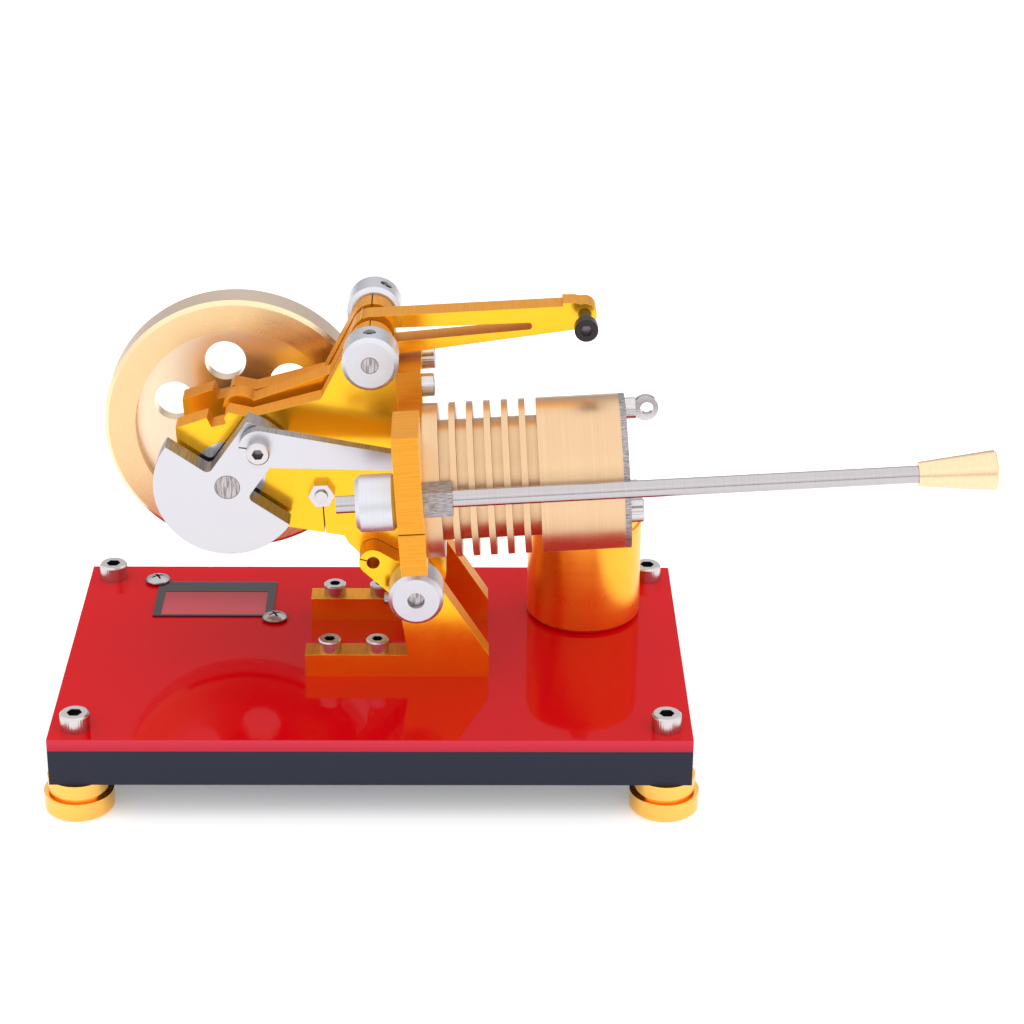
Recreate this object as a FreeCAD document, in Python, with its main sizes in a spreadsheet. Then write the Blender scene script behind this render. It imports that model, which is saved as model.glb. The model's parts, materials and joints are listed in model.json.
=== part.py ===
import FreeCAD, Part
import math
import os
from types import SimpleNamespace

import Sketcher
from FreeCAD import Placement, Rotation, Vector

# A small hot-air engine on a two-layer base, in millimetres.
# X runs to the right along the cylinder, Y away from the viewer, Z up.
# The origin lies midway between the four feet, on the plane that they stand on.
# The engine tilts on a hinge shaft held by two bracket legs. Its own pieces are drawn in the
# engine frame: origin on the hinge axis, x along the cylinder, z square to it.

SIZES = {
    # Base plates, feet and their screws
    "base_length": 150,
    "base_width": 90,
    "lower_thickness": 9,
    "upper_thickness": 3,
    "corner_inset": 6,
    "foot_radius": 8.2,
    "foot_neck_radius": 7.2,
    "foot_groove_radius": 6.6,
    "foot_ring_height": 4.8,
    "foot_groove_height": 0.6,
    "foot_height": 9,
    "foot_edge": 0.6,
    "foot_socket_radius": 2.6,
    "foot_socket_depth": 3.5,
    "corner_grip": 4,
    "large_screw_diameter": 4,
    "small_screw_diameter": 3,
    "screw_grip": 5,
    "screw_clearance": 0.06,
    "running_clearance": 0.05,
    # Name plate
    "name_inset_x": 33.3,
    "name_inset_y": 19,
    "name_length": 30.2,
    "name_width": 18.8,
    "name_border": 2,
    "name_border_near": 0.7,
    "name_border_far": 5.4,
    "name_thickness": 0.4,
    "name_panel_thickness": 0.3,
    "name_screw_radius": 3.1,
    "name_screw_height": 1.3,
    "name_screw_out": 0.6,
    "name_screw_down": 1,
    # Bracket legs
    "stock_thickness": 6,
    "leg_front_y": -11.5,
    "side_gap": 0.25,
    "foot_bar_left": -16.7,
    "foot_bar_right": 27.6,
    "foot_bar_height": 6,
    "leg_screw_left": -10.8,
    "leg_screw_pitch": 11.5,
    "hinge_x": 10.3,
    "hinge_height": 25.4,
    "leg_top": 31.3,
    "leg_top_right": 11.5,
    "leg_top_left": 5.5,
    "lug_x": 0,
    "lug_height": 30.8,
    "lug_radius": 3.3,
    "lug_hole_radius": 1.55,
    "slit_width": 0.3,
    # Shafts and collars
    "shaft_diameter": 4,
    "collar_radius": 6.5,
    "collar_length": 9.2,
    "collar_edge": 1,
    "set_screw_diameter": 3,
    "collar_gap": 0.2,
    "shaft_recess": 1.5,
    # Lamp
    "lamp_x": 51.7,
    "lamp_y": 21.6,
    "lamp_radius": 14.2,
    "lamp_height": 26,
    "lamp_wall": 1.2,
    "lid_thickness": 2.4,
    "lid_lip_depth": 3,
    "tube_radius": 3.4,
    "tube_wall": 0.6,
    "tube_height": 6,
    "wick_out": 2.4,
    "wick_in": 20,
    # Engine frame
    "tilt": 3.5,
    "crank_x": -42.4,
    "axis_height": 28.1,
    "pivot_x": -6.85,
    "pivot_rise": 6.1,
    "plate_gap": 11,
    "boss_radius": 5,
    "hinge_boss_radius": 7,
    "plate_left": -53.9,
    "tie_x": -21.1,
    "tie_height": 22.3,
    "spacer_radius": 3.2,
    "nut_flats": 5.5,
    "nut_thickness": 2.4,
    "bearing_radius": 8.5,
    "bearing_ring": 1.3,
    "shield_thickness": 0.5,
    "shield_gap": 0.08,
    # Flange plate
    "flange_left": -1.8,
    "flange_front": -47,
    "flange_margin": 4.5,
    "flange_bottom": 17.8,
    "valley_height": 44.2,
    "window_radius": 9.5,
    "relief_half": 2.2,
    "relief_height": 11.8,
    "ear_back": -30.5,
    "ear_corner": 1.2,
    "ear_bend": 33.6,
    "ear_step": 0.8,
    "flange_screw_gap": 0.9,
    # Cylinder and its end
    "cylinder_y": -17.5,
    "cylinder_radius": 18,
    "head_gap": 1.2,
    "core_radius": 14,
    "bore_radius": 10.5,
    "ring_width": 3.6,
    "fin_first": 6.1,
    "fin_pitch": 4.02,
    "fin_width": 1.5,
    "fin_count": 5,
    "head_thickness": 1.4,
    "head_screw_circle": 14.5,
    "head_screw_angle": 75,
    "eye_stem_radius": 2.5,
    "eye_stem_height": 2.8,
    "eye_radius": 3,
    "eye_hole_radius": 1.5,
    "eye_thickness": 1.6,
    # Handle
    "handle_y": -38.75,
    "handle_height": 33,
    "handle_left": -15.6,
    "grip_start": 115.2,
    "grip_length": 17.5,
    "grip_small_radius": 2.8,
    "grip_large_radius": 4.65,
    "grip_depth": 8,
    "block_length": 6.5,
    "block_side": 6,
    # Crank
    "crank_radius": 3,
    "throw": 13.7,
    "crank_angle": 51.5,
    "web_front": -15.5,
    "web_radius": 17.3,
    "web_arm_half": 5.4,
    "web_arm_reach": 16.4,
    "web_edge": 0.3,
    "web_round": 1.3,
    "cam_radius": 5,
    "cam_lobe_radius": 3.2,
    "cam_reach": 6.4,
    "cam_angle": 200,
    "cam_thickness": 5,
    # Flywheel
    "flywheel_front": 19.8,
    "flywheel_width": 9.4,
    "flywheel_radius": 32.8,
    "flywheel_edge": 1,
    "rim_radius": 25.2,
    "hub_radius": 8,
    "recess_depth": 2.8,
    "lightening_radius": 5,
    "lightening_circle": 16.6,
    "lightening_angle": 36.5,
    "shaft_out": 2,
    # Connecting rod and piston
    "rod_length": 66,
    "rod_thickness": 3,
    "big_end_radius": 4.6,
    "small_end_radius": 3,
    "rod_neck_half": 2.2,
    "rod_taper": 30,
    "pin_tip_gap": 0.3,
    "gudgeon_diameter": 3,
    "piston_ahead": 11,
    "piston_behind": 5,
    "piston_wall": 2.2,
    "piston_crown": 3,
    # Valve lever, heights and places from its own pivot
    "lever_reach": 49.85,
    "lever_tip_rise": 2.6,
    "lever_tip_radius": 2.8,
    "nose_back": 32.55,
    "nose_rise": 8.2,
    "nose_radius": 4.2,
    "slot_start": 5.3,
    "slot_end": 36.6,
    "slot_end_radius": 0.85,
    "lever_screw_length": 13.3,
}

# Sizes that follow from others, as formulas of the same sheet
FOLLOWING = {
    "name_x": "=name_inset_x - base_length / 2",
    "name_y": "=base_width / 2 - name_inset_y",
    "flange_screw_height": "=axis_height + cylinder_radius + flange_screw_gap",
    "flange_top": "=flange_screw_height + flange_margin",
    "pivot_height": "=flange_top + pivot_rise",
    "nose_drop": "=pivot_height - axis_height - nose_radius - nose_rise",
    "cylinder_length": "=crank_x + throw + rod_length + piston_ahead + head_gap - flange_left - stock_thickness",
}

doc = FreeCAD.newDocument("engine")
sheet = doc.addObject("Spreadsheet::Sheet", "Dims")
for row, (alias, content) in enumerate({**SIZES, **FOLLOWING}.items(), start=1):
    sheet.set("A%d" % row, alias)
    sheet.set("B%d" % row, str(content))
    sheet.setAlias("B%d" % row, alias)
doc.recompute()
D = SimpleNamespace(**{alias: float(sheet.get(alias)) for alias in {**SIZES, **FOLLOWING}})

# Places that several pieces share
TOP = D.foot_height + D.lower_thickness + D.upper_thickness
HINGE = Vector(D.hinge_x, 0, TOP + D.hinge_height)
ENGINE = Placement(HINGE, Rotation(Vector(0, 1, 0), -D.tilt))
STOCK = D.stock_thickness
PLATE_FRONT_Y = D.leg_front_y + STOCK + D.side_gap
PLATE_BACK_Y = PLATE_FRONT_Y + STOCK + D.plate_gap
LEG_BACK_Y = PLATE_BACK_Y + STOCK + D.side_gap
MIDDLE_Y = (PLATE_FRONT_Y + PLATE_BACK_Y) / 2
FLANGE_RIGHT = D.flange_left + STOCK

SIDEWAYS = Rotation(Vector(0, 1, 0), 90)
TO_VIEWER = Rotation(Vector(1, 0, 0), 90)
AWAY = Rotation(Vector(1, 0, 0), -90)
UPRIGHT = Rotation()

parts = []


def keep(body, place):
    """Registers a finished sub-part and puts it where it belongs."""
    body.Placement = place
    parts.append(body)
    return body


def engine_place(x, y, z, turn=UPRIGHT):
    """A placement given in the engine frame."""
    return ENGINE.multiply(Placement(Vector(x, y, z), turn))


def new_body(label):
    body = doc.addObject("PartDesign::Body", label)
    body.Label = label
    return body


def new_sketch(body, plane):
    sketch = body.newObject("Sketcher::SketchObject", body.Label + "_sketch")
    planes = [item for item in body.Origin.OriginFeatures if item.Role == plane]
    sketch.AttachmentSupport = [(planes[0], "")]
    sketch.MapMode = "FlatFace"
    return sketch


def fix_point(sketch, geometry, point, across, up):
    """Ties one point of a sketch to two expressions of the sheet."""
    for kind, expression in (("DistanceX", across), ("DistanceY", up)):
        index = sketch.addConstraint(Sketcher.Constraint(kind, -1, 1, geometry, point, 1.0))
        sketch.setExpression("Constraints[%d]" % index, expression)


def add_polygon(sketch, corners):
    """Draws a closed outline whose corners are pairs of expressions."""
    count = len(corners)
    first = sketch.GeometryCount
    start = [
        Vector(math.cos(2 * math.pi * i / count), math.sin(2 * math.pi * i / count), 0)
        for i in range(count)
    ]
    for i in range(count):
        sketch.addGeometry(Part.LineSegment(start[i], start[(i + 1) % count]), False)
    for i in range(count):
        after = first + (i + 1) % count
        sketch.addConstraint(Sketcher.Constraint("Coincident", first + i, 2, after, 1))
    for i, (across, up) in enumerate(corners):
        fix_point(sketch, first + i, 1, across, up)


def add_circle(sketch, across, up, radius):
    """Draws a circle whose centre and radius are expressions."""
    index = sketch.addGeometry(Part.Circle(Vector(0, 0, 0), Vector(0, 0, 1), 1.0), False)
    ring = sketch.addConstraint(Sketcher.Constraint("Radius", index, 1.0))
    sketch.setExpression("Constraints[%d]" % ring, radius)
    fix_point(sketch, index, 3, across, up)


def draw(body, plane, shapes):
    """A sketch of outlines: a list is a polygon, a tuple of three is a circle."""
    sketch = new_sketch(body, plane)
    for shape in shapes:
        if isinstance(shape, list):
            add_polygon(sketch, shape)
        else:
            add_circle(sketch, *shape)
    return sketch


def pad(body, plane, shapes, length, from_plane=False):
    """Adds material, to both sides of the plane or from it along its normal."""
    feature = body.newObject("PartDesign::Pad", body.Label + "_pad")
    feature.Profile = draw(body, plane, shapes)
    feature.setExpression("Length", length)
    feature.SideType = "One side" if from_plane else "Symmetric"
    return feature


def pocket(body, plane, shapes, length, from_plane=False, reverse=False):
    """Cuts material away, and makes sure that something was cut."""
    doc.recompute()
    before = body.Shape.Volume
    feature = body.newObject("PartDesign::Pocket", body.Label + "_pocket")
    feature.Profile = draw(body, plane, shapes)
    feature.setExpression("Length", length)
    feature.SideType = "One side" if from_plane else "Symmetric"
    feature.Reversed = reverse
    doc.recompute()
    if not body.Shape.Volume < before - 1e-6:
        raise RuntimeError("a pocket of %s cuts nothing" % body.Label)
    return feature


def turned(label, profile):
    """A body turned about its own Z axis from an outline of radius and height."""
    body = new_body(label)
    feature = body.newObject("PartDesign::Revolution", label + "_turn")
    sketch = draw(body, "XZ_Plane", [profile])
    feature.Profile = sketch
    feature.ReferenceAxis = (sketch, ["V_Axis"])
    feature.Angle = 360
    return body


def hexagon(flats):
    """Corners of a hexagon about the origin from its width across flats."""
    reach = "%s / 2 / cos(30)" % flats
    return [("%s * cos(%d)" % (reach, a), "%s * sin(%d)" % (reach, a)) for a in range(0, 360, 60)]


def cap_screw(label, diameter, length, place):
    """A socket cap screw: origin under the head, head towards +Z."""
    head = "%s * 1.83 / 2" % diameter
    if diameter == "Dims.large_screw_diameter":
        head = "%s * 1.75 / 2" % diameter
    profile = [
        ("0", "-(%s)" % length),
        ("%s / 2" % diameter, "-(%s)" % length),
        ("%s / 2" % diameter, "0"),
        (head, "0"),
        (head, "%s * 0.9" % diameter),
        ("%s - %s * 0.1" % (head, diameter), diameter),
        ("0", diameter),
    ]
    body = turned(label, profile)
    top = body.newObject("PartDesign::Pocket", label + "_socket")
    sketch = draw(body, "XY_Plane", [hexagon("%s * 0.8" % diameter)])
    sketch.setExpression(".AttachmentOffset.Base.z", diameter)
    top.Profile = sketch
    top.setExpression("Length", "%s * 0.55" % diameter)
    return keep(body, place)


def collar(label, place, screw_turn=0):
    """A shaft collar with chamfered ends and a radial set screw hole, centred on its origin."""
    half = "Dims.collar_length / 2"
    outer = "Dims.collar_radius"
    inner = "Dims.shaft_diameter / 2 + Dims.screw_clearance / 2"
    edge = "Dims.collar_edge"
    profile = [
        (inner, "-%s" % half),
        ("%s - %s" % (outer, edge), "-%s" % half),
        (outer, "-%s + %s" % (half, edge)),
        (outer, "%s - %s" % (half, edge)),
        ("%s - %s" % (outer, edge), half),
        (inner, half),
    ]
    body = turned(label, profile)
    hole = ("0", "0", "Dims.set_screw_diameter / 2")
    pocket(body, "YZ_Plane", [hole], "Dims.collar_radius + 1", from_plane=True, reverse=True)
    turn = Rotation(Vector(0, 0, 1), screw_turn)
    return keep(body, place.multiply(Placement(Vector(), turn)))


def round_bar(label, radius, length, place):
    """A plain bar along its own +Z from its origin."""
    bar = doc.addObject("Part::Cylinder", label)
    bar.Label = label
    bar.setExpression("Radius", radius)
    bar.setExpression("Height", length)
    return keep(bar, place)


def slit(across, low, high):
    """A narrow upright lead-in cut, from one height to another."""
    half = "Dims.slit_width / 2"
    left = "%s - %s" % (across, half)
    right = "%s + %s" % (across, half)
    return [(left, low), (right, low), (right, high), (left, high)]


# Base plates with a hole at each corner, and through the upper one for the name screws

CORNERS = [(sx, sy) for sy in (-1, 1) for sx in (-1, 1)]


def corner_circle(sx, sy, radius):
    return (
        "%d * (Dims.base_length / 2 - Dims.corner_inset)" % sx,
        "%d * (Dims.base_width / 2 - Dims.corner_inset)" % sy,
        radius,
    )


def corner_point(sx, sy, height):
    x = sx * (D.base_length / 2 - D.corner_inset)
    y = sy * (D.base_width / 2 - D.corner_inset)
    return Vector(x, y, height)


def name_screw_shift(side):
    """How far one of the name plate's two screws lies from the plate's centre."""
    across = "%d * (Dims.name_length / 2 + Dims.name_screw_out)" % side
    up = "%d * (Dims.name_width / 2 + Dims.name_screw_down)" % -side
    return across, up


def base_plate(label, thickness, height, name_holes):
    body = new_body(label)
    half_x = "Dims.base_length / 2"
    half_y = "Dims.base_width / 2"
    outline = [
        ("-%s" % half_x, "-%s" % half_y),
        (half_x, "-%s" % half_y),
        (half_x, half_y),
        ("-%s" % half_x, half_y),
    ]
    hole = "(Dims.large_screw_diameter + Dims.screw_clearance) / 2"
    holes = [corner_circle(sx, sy, hole) for sx, sy in CORNERS]
    small = "(Dims.small_screw_diameter + Dims.screw_clearance) / 2"
    for y in (D.leg_front_y, LEG_BACK_Y):
        for step in (0, 1):
            across = "Dims.leg_screw_left + %d * Dims.leg_screw_pitch" % step
            holes.append((across, leg_y_expression(y), small))
    for side in name_holes:
        across, up = name_screw_shift(side)
        holes.append(("Dims.name_x + %s" % across, "Dims.name_y + %s" % up, small))
    pad(body, "XY_Plane", [outline] + holes, thickness, from_plane=True)
    return keep(body, Placement(Vector(0, 0, height), UPRIGHT))


def leg_y_expression(y):
    if y == D.leg_front_y:
        return "Dims.leg_front_y"
    return "Dims.leg_front_y + 3 * Dims.stock_thickness + 2 * Dims.side_gap + Dims.plate_gap"


base_plate("base_lower", "Dims.lower_thickness", D.foot_height, ())
base_plate("base_upper", "Dims.upper_thickness", D.foot_height + D.lower_thickness, (-1, 1))

for number, (sx, sy) in enumerate(CORNERS, start=1):
    bore = "(Dims.large_screw_diameter + Dims.screw_clearance) / 2"
    foot = turned(
        "foot_%d" % number,
        [
            ("Dims.foot_socket_radius", "-Dims.foot_height"),
            ("Dims.foot_radius - Dims.foot_edge", "-Dims.foot_height"),
            ("Dims.foot_radius", "-Dims.foot_height + Dims.foot_edge"),
            ("Dims.foot_radius", "-Dims.foot_height + Dims.foot_ring_height"),
            ("Dims.foot_groove_radius", "-Dims.foot_height + Dims.foot_ring_height"),
            (
                "Dims.foot_groove_radius",
                "-Dims.foot_height + Dims.foot_ring_height + Dims.foot_groove_height",
            ),
            (
                "Dims.foot_neck_radius",
                "-Dims.foot_height + Dims.foot_ring_height + Dims.foot_groove_height",
            ),
            ("Dims.foot_neck_radius", "0"),
            (bore, "0"),
            (bore, "-Dims.foot_height + Dims.foot_socket_depth"),
            ("Dims.foot_socket_radius", "-Dims.foot_height + Dims.foot_socket_depth"),
        ],
    )
    keep(foot, Placement(corner_point(sx, sy, D.foot_height), UPRIGHT))
    cap_screw(
        "corner_screw_%d" % number,
        "Dims.large_screw_diameter",
        "Dims.lower_thickness + Dims.upper_thickness + Dims.corner_grip",
        Placement(corner_point(sx, sy, TOP), UPRIGHT),
    )

# Name plate: a flat border, wider on its far side, a panel inside it and two domed screws


def box_outline(left, near, right, far):
    return [(left, near), (right, near), (right, far), (left, far)]


def centred_box(length, width):
    return box_outline(
        "-(%s) / 2" % length, "-(%s) / 2" % width, "(%s) / 2" % length, "(%s) / 2" % width
    )


NAME_PLACE = Placement(Vector(D.name_x, D.name_y, TOP), UPRIGHT)
border = new_body("name_border")
name_window = box_outline(
    "-Dims.name_length / 2 + Dims.name_border",
    "-Dims.name_width / 2 + Dims.name_border_near",
    "Dims.name_length / 2 - Dims.name_border",
    "Dims.name_width / 2 - Dims.name_border_far",
)
pad(
    border,
    "XY_Plane",
    [centred_box("Dims.name_length", "Dims.name_width"), name_window],
    "Dims.name_thickness",
    from_plane=True,
)
notch = "(Dims.small_screw_diameter + Dims.screw_clearance) / 2"
notches = [name_screw_shift(side) + (notch,) for side in (-1, 1)]
pocket(border, "XY_Plane", notches, "Dims.name_thickness + 1", from_plane=True, reverse=True)
keep(border, NAME_PLACE)
panel = new_body("name_panel")
pad(
    panel,
    "XY_Plane",
    [name_window],
    "Dims.name_panel_thickness",
    from_plane=True,
)
keep(panel, NAME_PLACE)
for number, side in enumerate((-1, 1), start=1):
    screw = turned(
        "name_screw_%d" % number,
        [
            ("0", "-Dims.name_thickness - Dims.upper_thickness"),
            ("Dims.small_screw_diameter / 2", "-Dims.name_thickness - Dims.upper_thickness"),
            ("Dims.small_screw_diameter / 2", "0"),
            ("Dims.name_screw_radius", "0"),
            ("Dims.name_screw_radius", "Dims.name_screw_height * 0.3"),
            ("Dims.name_screw_radius * 0.8", "Dims.name_screw_height * 0.7"),
            ("Dims.name_screw_radius * 0.5", "Dims.name_screw_height * 0.93"),
            ("0", "Dims.name_screw_height"),
        ],
    )
    across = side * (D.name_length / 2 + D.name_screw_out)
    up = -side * (D.name_width / 2 + D.name_screw_down)
    shift = Vector(across, up, D.name_thickness)
    keep(screw, Placement(NAME_PLACE.Base + shift, UPRIGHT))

# Bracket: two legs on foot bars, with a lug, the hinge hole and two screws each


def bracket_leg(label, y):
    body = new_body(label)
    outline = [
        ("Dims.foot_bar_left", "0"),
        ("Dims.foot_bar_right", "0"),
        ("Dims.foot_bar_right", "Dims.foot_bar_height"),
        ("Dims.leg_top_right", "Dims.leg_top"),
        ("Dims.leg_top_left", "Dims.leg_top"),
        ("Dims.lug_x + Dims.lug_radius * 0.5", "Dims.lug_height + Dims.lug_radius * 0.86"),
        ("Dims.lug_x - Dims.lug_radius * 0.75", "Dims.lug_height - Dims.lug_radius * 0.66"),
        ("Dims.hinge_x - 6.8", "Dims.hinge_height - 2.4"),
        ("Dims.hinge_x - 3.6", "Dims.hinge_height - 10"),
        ("Dims.hinge_x - 2.2", "Dims.foot_bar_height"),
        ("Dims.foot_bar_left", "Dims.foot_bar_height"),
    ]
    pad(body, "XZ_Plane", [outline], "Dims.stock_thickness")
    pad(body, "XZ_Plane", [("Dims.lug_x", "Dims.lug_height", "Dims.lug_radius")], "Dims.stock_thickness")
    shaft_hole = ("Dims.hinge_x", "Dims.hinge_height", "(Dims.shaft_diameter + Dims.screw_clearance) / 2")
    lug_hole = ("Dims.lug_x", "Dims.lug_height", "Dims.lug_hole_radius")
    pocket(body, "XZ_Plane", [shaft_hole, lug_hole], "Dims.stock_thickness + 1")
    lead_in = [
        ("Dims.lug_x - Dims.lug_radius - 1", "Dims.lug_height + 1.2"),
        ("Dims.lug_x", "Dims.lug_height - Dims.slit_width / 2"),
        ("Dims.lug_x", "Dims.lug_height + Dims.slit_width / 2"),
        ("Dims.lug_x - Dims.lug_radius - 1", "Dims.lug_height + 1.2 + Dims.slit_width"),
    ]
    pocket(body, "XZ_Plane", [lead_in], "Dims.stock_thickness + 1")
    small = "(Dims.small_screw_diameter + Dims.screw_clearance) / 2"
    holes = [
        ("Dims.leg_screw_left + %d * Dims.leg_screw_pitch" % step, "0", small) for step in (0, 1)
    ]
    pocket(body, "XY_Plane", holes, "Dims.foot_bar_height + 1", from_plane=True, reverse=True)
    return keep(body, Placement(Vector(0, y, TOP), UPRIGHT))


bracket_leg("bracket_front", D.leg_front_y)
bracket_leg("bracket_back", LEG_BACK_Y)
number = 0
for y in (D.leg_front_y, LEG_BACK_Y):
    for step in (0, 1):
        number += 1
        x = D.leg_screw_left + step * D.leg_screw_pitch
        cap_screw(
            "bracket_screw_%d" % number,
            "Dims.small_screw_diameter",
            "Dims.foot_bar_height + Dims.screw_grip",
            Placement(Vector(x, y, TOP + D.foot_bar_height), UPRIGHT),
        )

# Hinge shaft and its collars, which stay with the bracket

HINGE_SPAN = "2 * Dims.collar_length + 4 * Dims.stock_thickness + 2 * Dims.side_gap + Dims.plate_gap"
LEG_FRONT_FACE = D.leg_front_y - STOCK / 2
LEG_BACK_FACE = LEG_BACK_Y + STOCK / 2
round_bar(
    "hinge_shaft",
    "Dims.shaft_diameter / 2",
    "%s - 2 * Dims.shaft_recess" % HINGE_SPAN,
    Placement(Vector(D.hinge_x, LEG_FRONT_FACE - D.collar_length + D.shaft_recess, HINGE.z), AWAY),
)
for label, y in (
    ("hinge_collar_front", LEG_FRONT_FACE - D.collar_length / 2),
    ("hinge_collar_back", LEG_BACK_FACE + D.collar_length / 2),
):
    collar(label, Placement(Vector(D.hinge_x, y, HINGE.z), AWAY), 180)

# Lamp: cup, lid with its wick tube, and the wick

LAMP = Vector(D.lamp_x, D.lamp_y, TOP)
cup = turned(
    "lamp_cup",
    [
        ("0", "0"),
        ("Dims.lamp_radius - 1", "0"),
        ("Dims.lamp_radius", "1"),
        ("Dims.lamp_radius", "Dims.lamp_height"),
        ("Dims.lamp_radius - Dims.lamp_wall", "Dims.lamp_height"),
        ("Dims.lamp_radius - Dims.lamp_wall", "Dims.lamp_wall"),
        ("0", "Dims.lamp_wall"),
    ],
)
keep(cup, Placement(LAMP, UPRIGHT))
lip = "Dims.lamp_radius - Dims.lamp_wall - Dims.running_clearance"
lid = turned(
    "lamp_lid",
    [
        ("Dims.tube_radius - Dims.tube_wall", "-Dims.lid_lip_depth"),
        ("Dims.tube_radius", "-Dims.lid_lip_depth"),
        ("Dims.tube_radius", "0"),
        ("%s - 1" % lip, "0"),
        ("%s - 1" % lip, "-Dims.lid_lip_depth"),
        (lip, "-Dims.lid_lip_depth"),
        (lip, "0"),
        ("Dims.lamp_radius - 0.4", "0"),
        ("Dims.lamp_radius - 0.4", "Dims.lid_thickness - 0.6"),
        ("Dims.lamp_radius - 1", "Dims.lid_thickness"),
        ("Dims.tube_radius", "Dims.lid_thickness"),
        ("Dims.tube_radius", "Dims.lid_thickness + Dims.tube_height"),
        ("Dims.tube_radius - Dims.tube_wall", "Dims.lid_thickness + Dims.tube_height"),
    ],
)
keep(lid, Placement(LAMP + Vector(0, 0, D.lamp_height), UPRIGHT))
round_bar(
    "wick",
    "Dims.tube_radius - Dims.tube_wall - Dims.running_clearance",
    "Dims.lid_thickness + Dims.tube_height + Dims.wick_out + Dims.wick_in",
    Placement(LAMP + Vector(0, 0, D.lamp_height - D.wick_in), UPRIGHT),
)

# Side plates of the engine, the same outline front and back


def side_plate(label, y):
    body = new_body(label)
    cam_x = "Dims.crank_x"
    axis = "Dims.axis_height"
    outline = [
        ("Dims.plate_left", "%s - 4.5" % axis),
        ("%s - 4.8" % cam_x, "%s - 10.3" % axis),
        ("%s + 12.5" % cam_x, "%s - 14.4" % axis),
        ("Dims.tie_x + 4.4", "Dims.tie_height - 11.7"),
        ("Dims.tie_x + 5.4", "Dims.tie_height - 13.8"),
        ("Dims.tie_x + 8.2", "Dims.tie_height - 17.2"),
        ("-Dims.hinge_boss_radius * 0.9", "-Dims.hinge_boss_radius * 0.43"),
        ("Dims.hinge_boss_radius * 0.96", "Dims.hinge_boss_radius * 0.27"),
        ("Dims.flange_left", "Dims.flange_bottom"),
        ("Dims.flange_left", "Dims.flange_top"),
        ("Dims.pivot_x + Dims.boss_radius", "Dims.pivot_height"),
        ("Dims.pivot_x - Dims.boss_radius * 0.87", "Dims.pivot_height + Dims.boss_radius * 0.5"),
        ("Dims.pivot_x - 12.65", "Dims.pivot_height - 11.6"),
        ("%s + 6.3" % cam_x, "%s + 14.3" % axis),
        ("%s + 1.1" % cam_x, "%s + 15.8" % axis),
        ("%s + 0.1" % cam_x, "%s + 14.6" % axis),
        ("%s + 0.4" % cam_x, "%s + 13" % axis),
        ("%s - 3.05" % cam_x, "%s + 12.3" % axis),
        ("%s - 4" % cam_x, "%s + 14.7" % axis),
        ("Dims.plate_left", "%s + 12.6" % axis),
    ]
    pad(body, "XZ_Plane", [outline], "Dims.stock_thickness")
    bosses = [
        ("Dims.pivot_x", "Dims.pivot_height", "Dims.boss_radius"),
        ("0", "0", "Dims.hinge_boss_radius"),
    ]
    for boss in bosses:
        pad(body, "XZ_Plane", [boss], "Dims.stock_thickness")
    shaft_hole = "Dims.shaft_diameter / 2 + Dims.running_clearance"
    holes = [
        (cam_x, axis, "Dims.bearing_radius"),
        ("Dims.pivot_x", "Dims.pivot_height", shaft_hole),
        ("0", "0", shaft_hole),
        ("Dims.tie_x", "Dims.tie_height", "(Dims.small_screw_diameter + Dims.screw_clearance) / 2"),
    ]
    pocket(body, "XZ_Plane", holes, "Dims.stock_thickness + 1")
    boss_slit = slit("Dims.pivot_x", "Dims.pivot_height", "Dims.pivot_height + Dims.boss_radius + 1")
    tie_slit = slit("Dims.tie_x", "Dims.tie_height - 12", "Dims.tie_height")
    pocket(body, "XZ_Plane", [boss_slit, tie_slit], "Dims.stock_thickness + 1")
    thread = ("0", "Dims.flange_screw_height", "(Dims.small_screw_diameter + Dims.screw_clearance) / 2")
    pocket(body, "YZ_Plane", [thread], "Dims.screw_grip - Dims.flange_left + 0.5", from_plane=True)
    return keep(body, engine_place(0, y, 0))


side_plate("side_plate_front", PLATE_FRONT_Y)
side_plate("side_plate_back", PLATE_BACK_Y)

# Ball bearings: the outer ring carries two shields, the inner ring turns with the shaft


def bearing_outer(label, y):
    half = "Dims.stock_thickness / 2"
    ring = "Dims.bearing_radius - Dims.bearing_ring"
    shield = "Dims.crank_radius + Dims.bearing_ring + Dims.shield_gap"
    body = turned(
        label,
        [
            (shield, "-%s" % half),
            ("Dims.bearing_radius", "-%s" % half),
            ("Dims.bearing_radius", half),
            (shield, half),
            (shield, "%s - Dims.shield_thickness" % half),
            (ring, "%s - Dims.shield_thickness" % half),
            (ring, "-%s + Dims.shield_thickness" % half),
            (shield, "-%s + Dims.shield_thickness" % half),
        ],
    )
    return keep(body, engine_place(D.crank_x, y, D.axis_height, AWAY))


def bearing_inner(label, y):
    half = "Dims.stock_thickness / 2"
    outer = "Dims.crank_radius + Dims.bearing_ring"
    body = turned(
        label,
        [
            ("Dims.crank_radius", "-%s" % half),
            (outer, "-%s" % half),
            (outer, half),
            ("Dims.crank_radius", half),
        ],
    )
    return keep(body, engine_place(D.crank_x, y, D.axis_height, AWAY))


for side, y in (("front", PLATE_FRONT_Y), ("back", PLATE_BACK_Y)):
    bearing_outer("bearing_outer_" + side, y)
    bearing_inner("bearing_inner_" + side, y)

# Tie bolt from the back, its spacer between the plates and its nut in front

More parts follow.
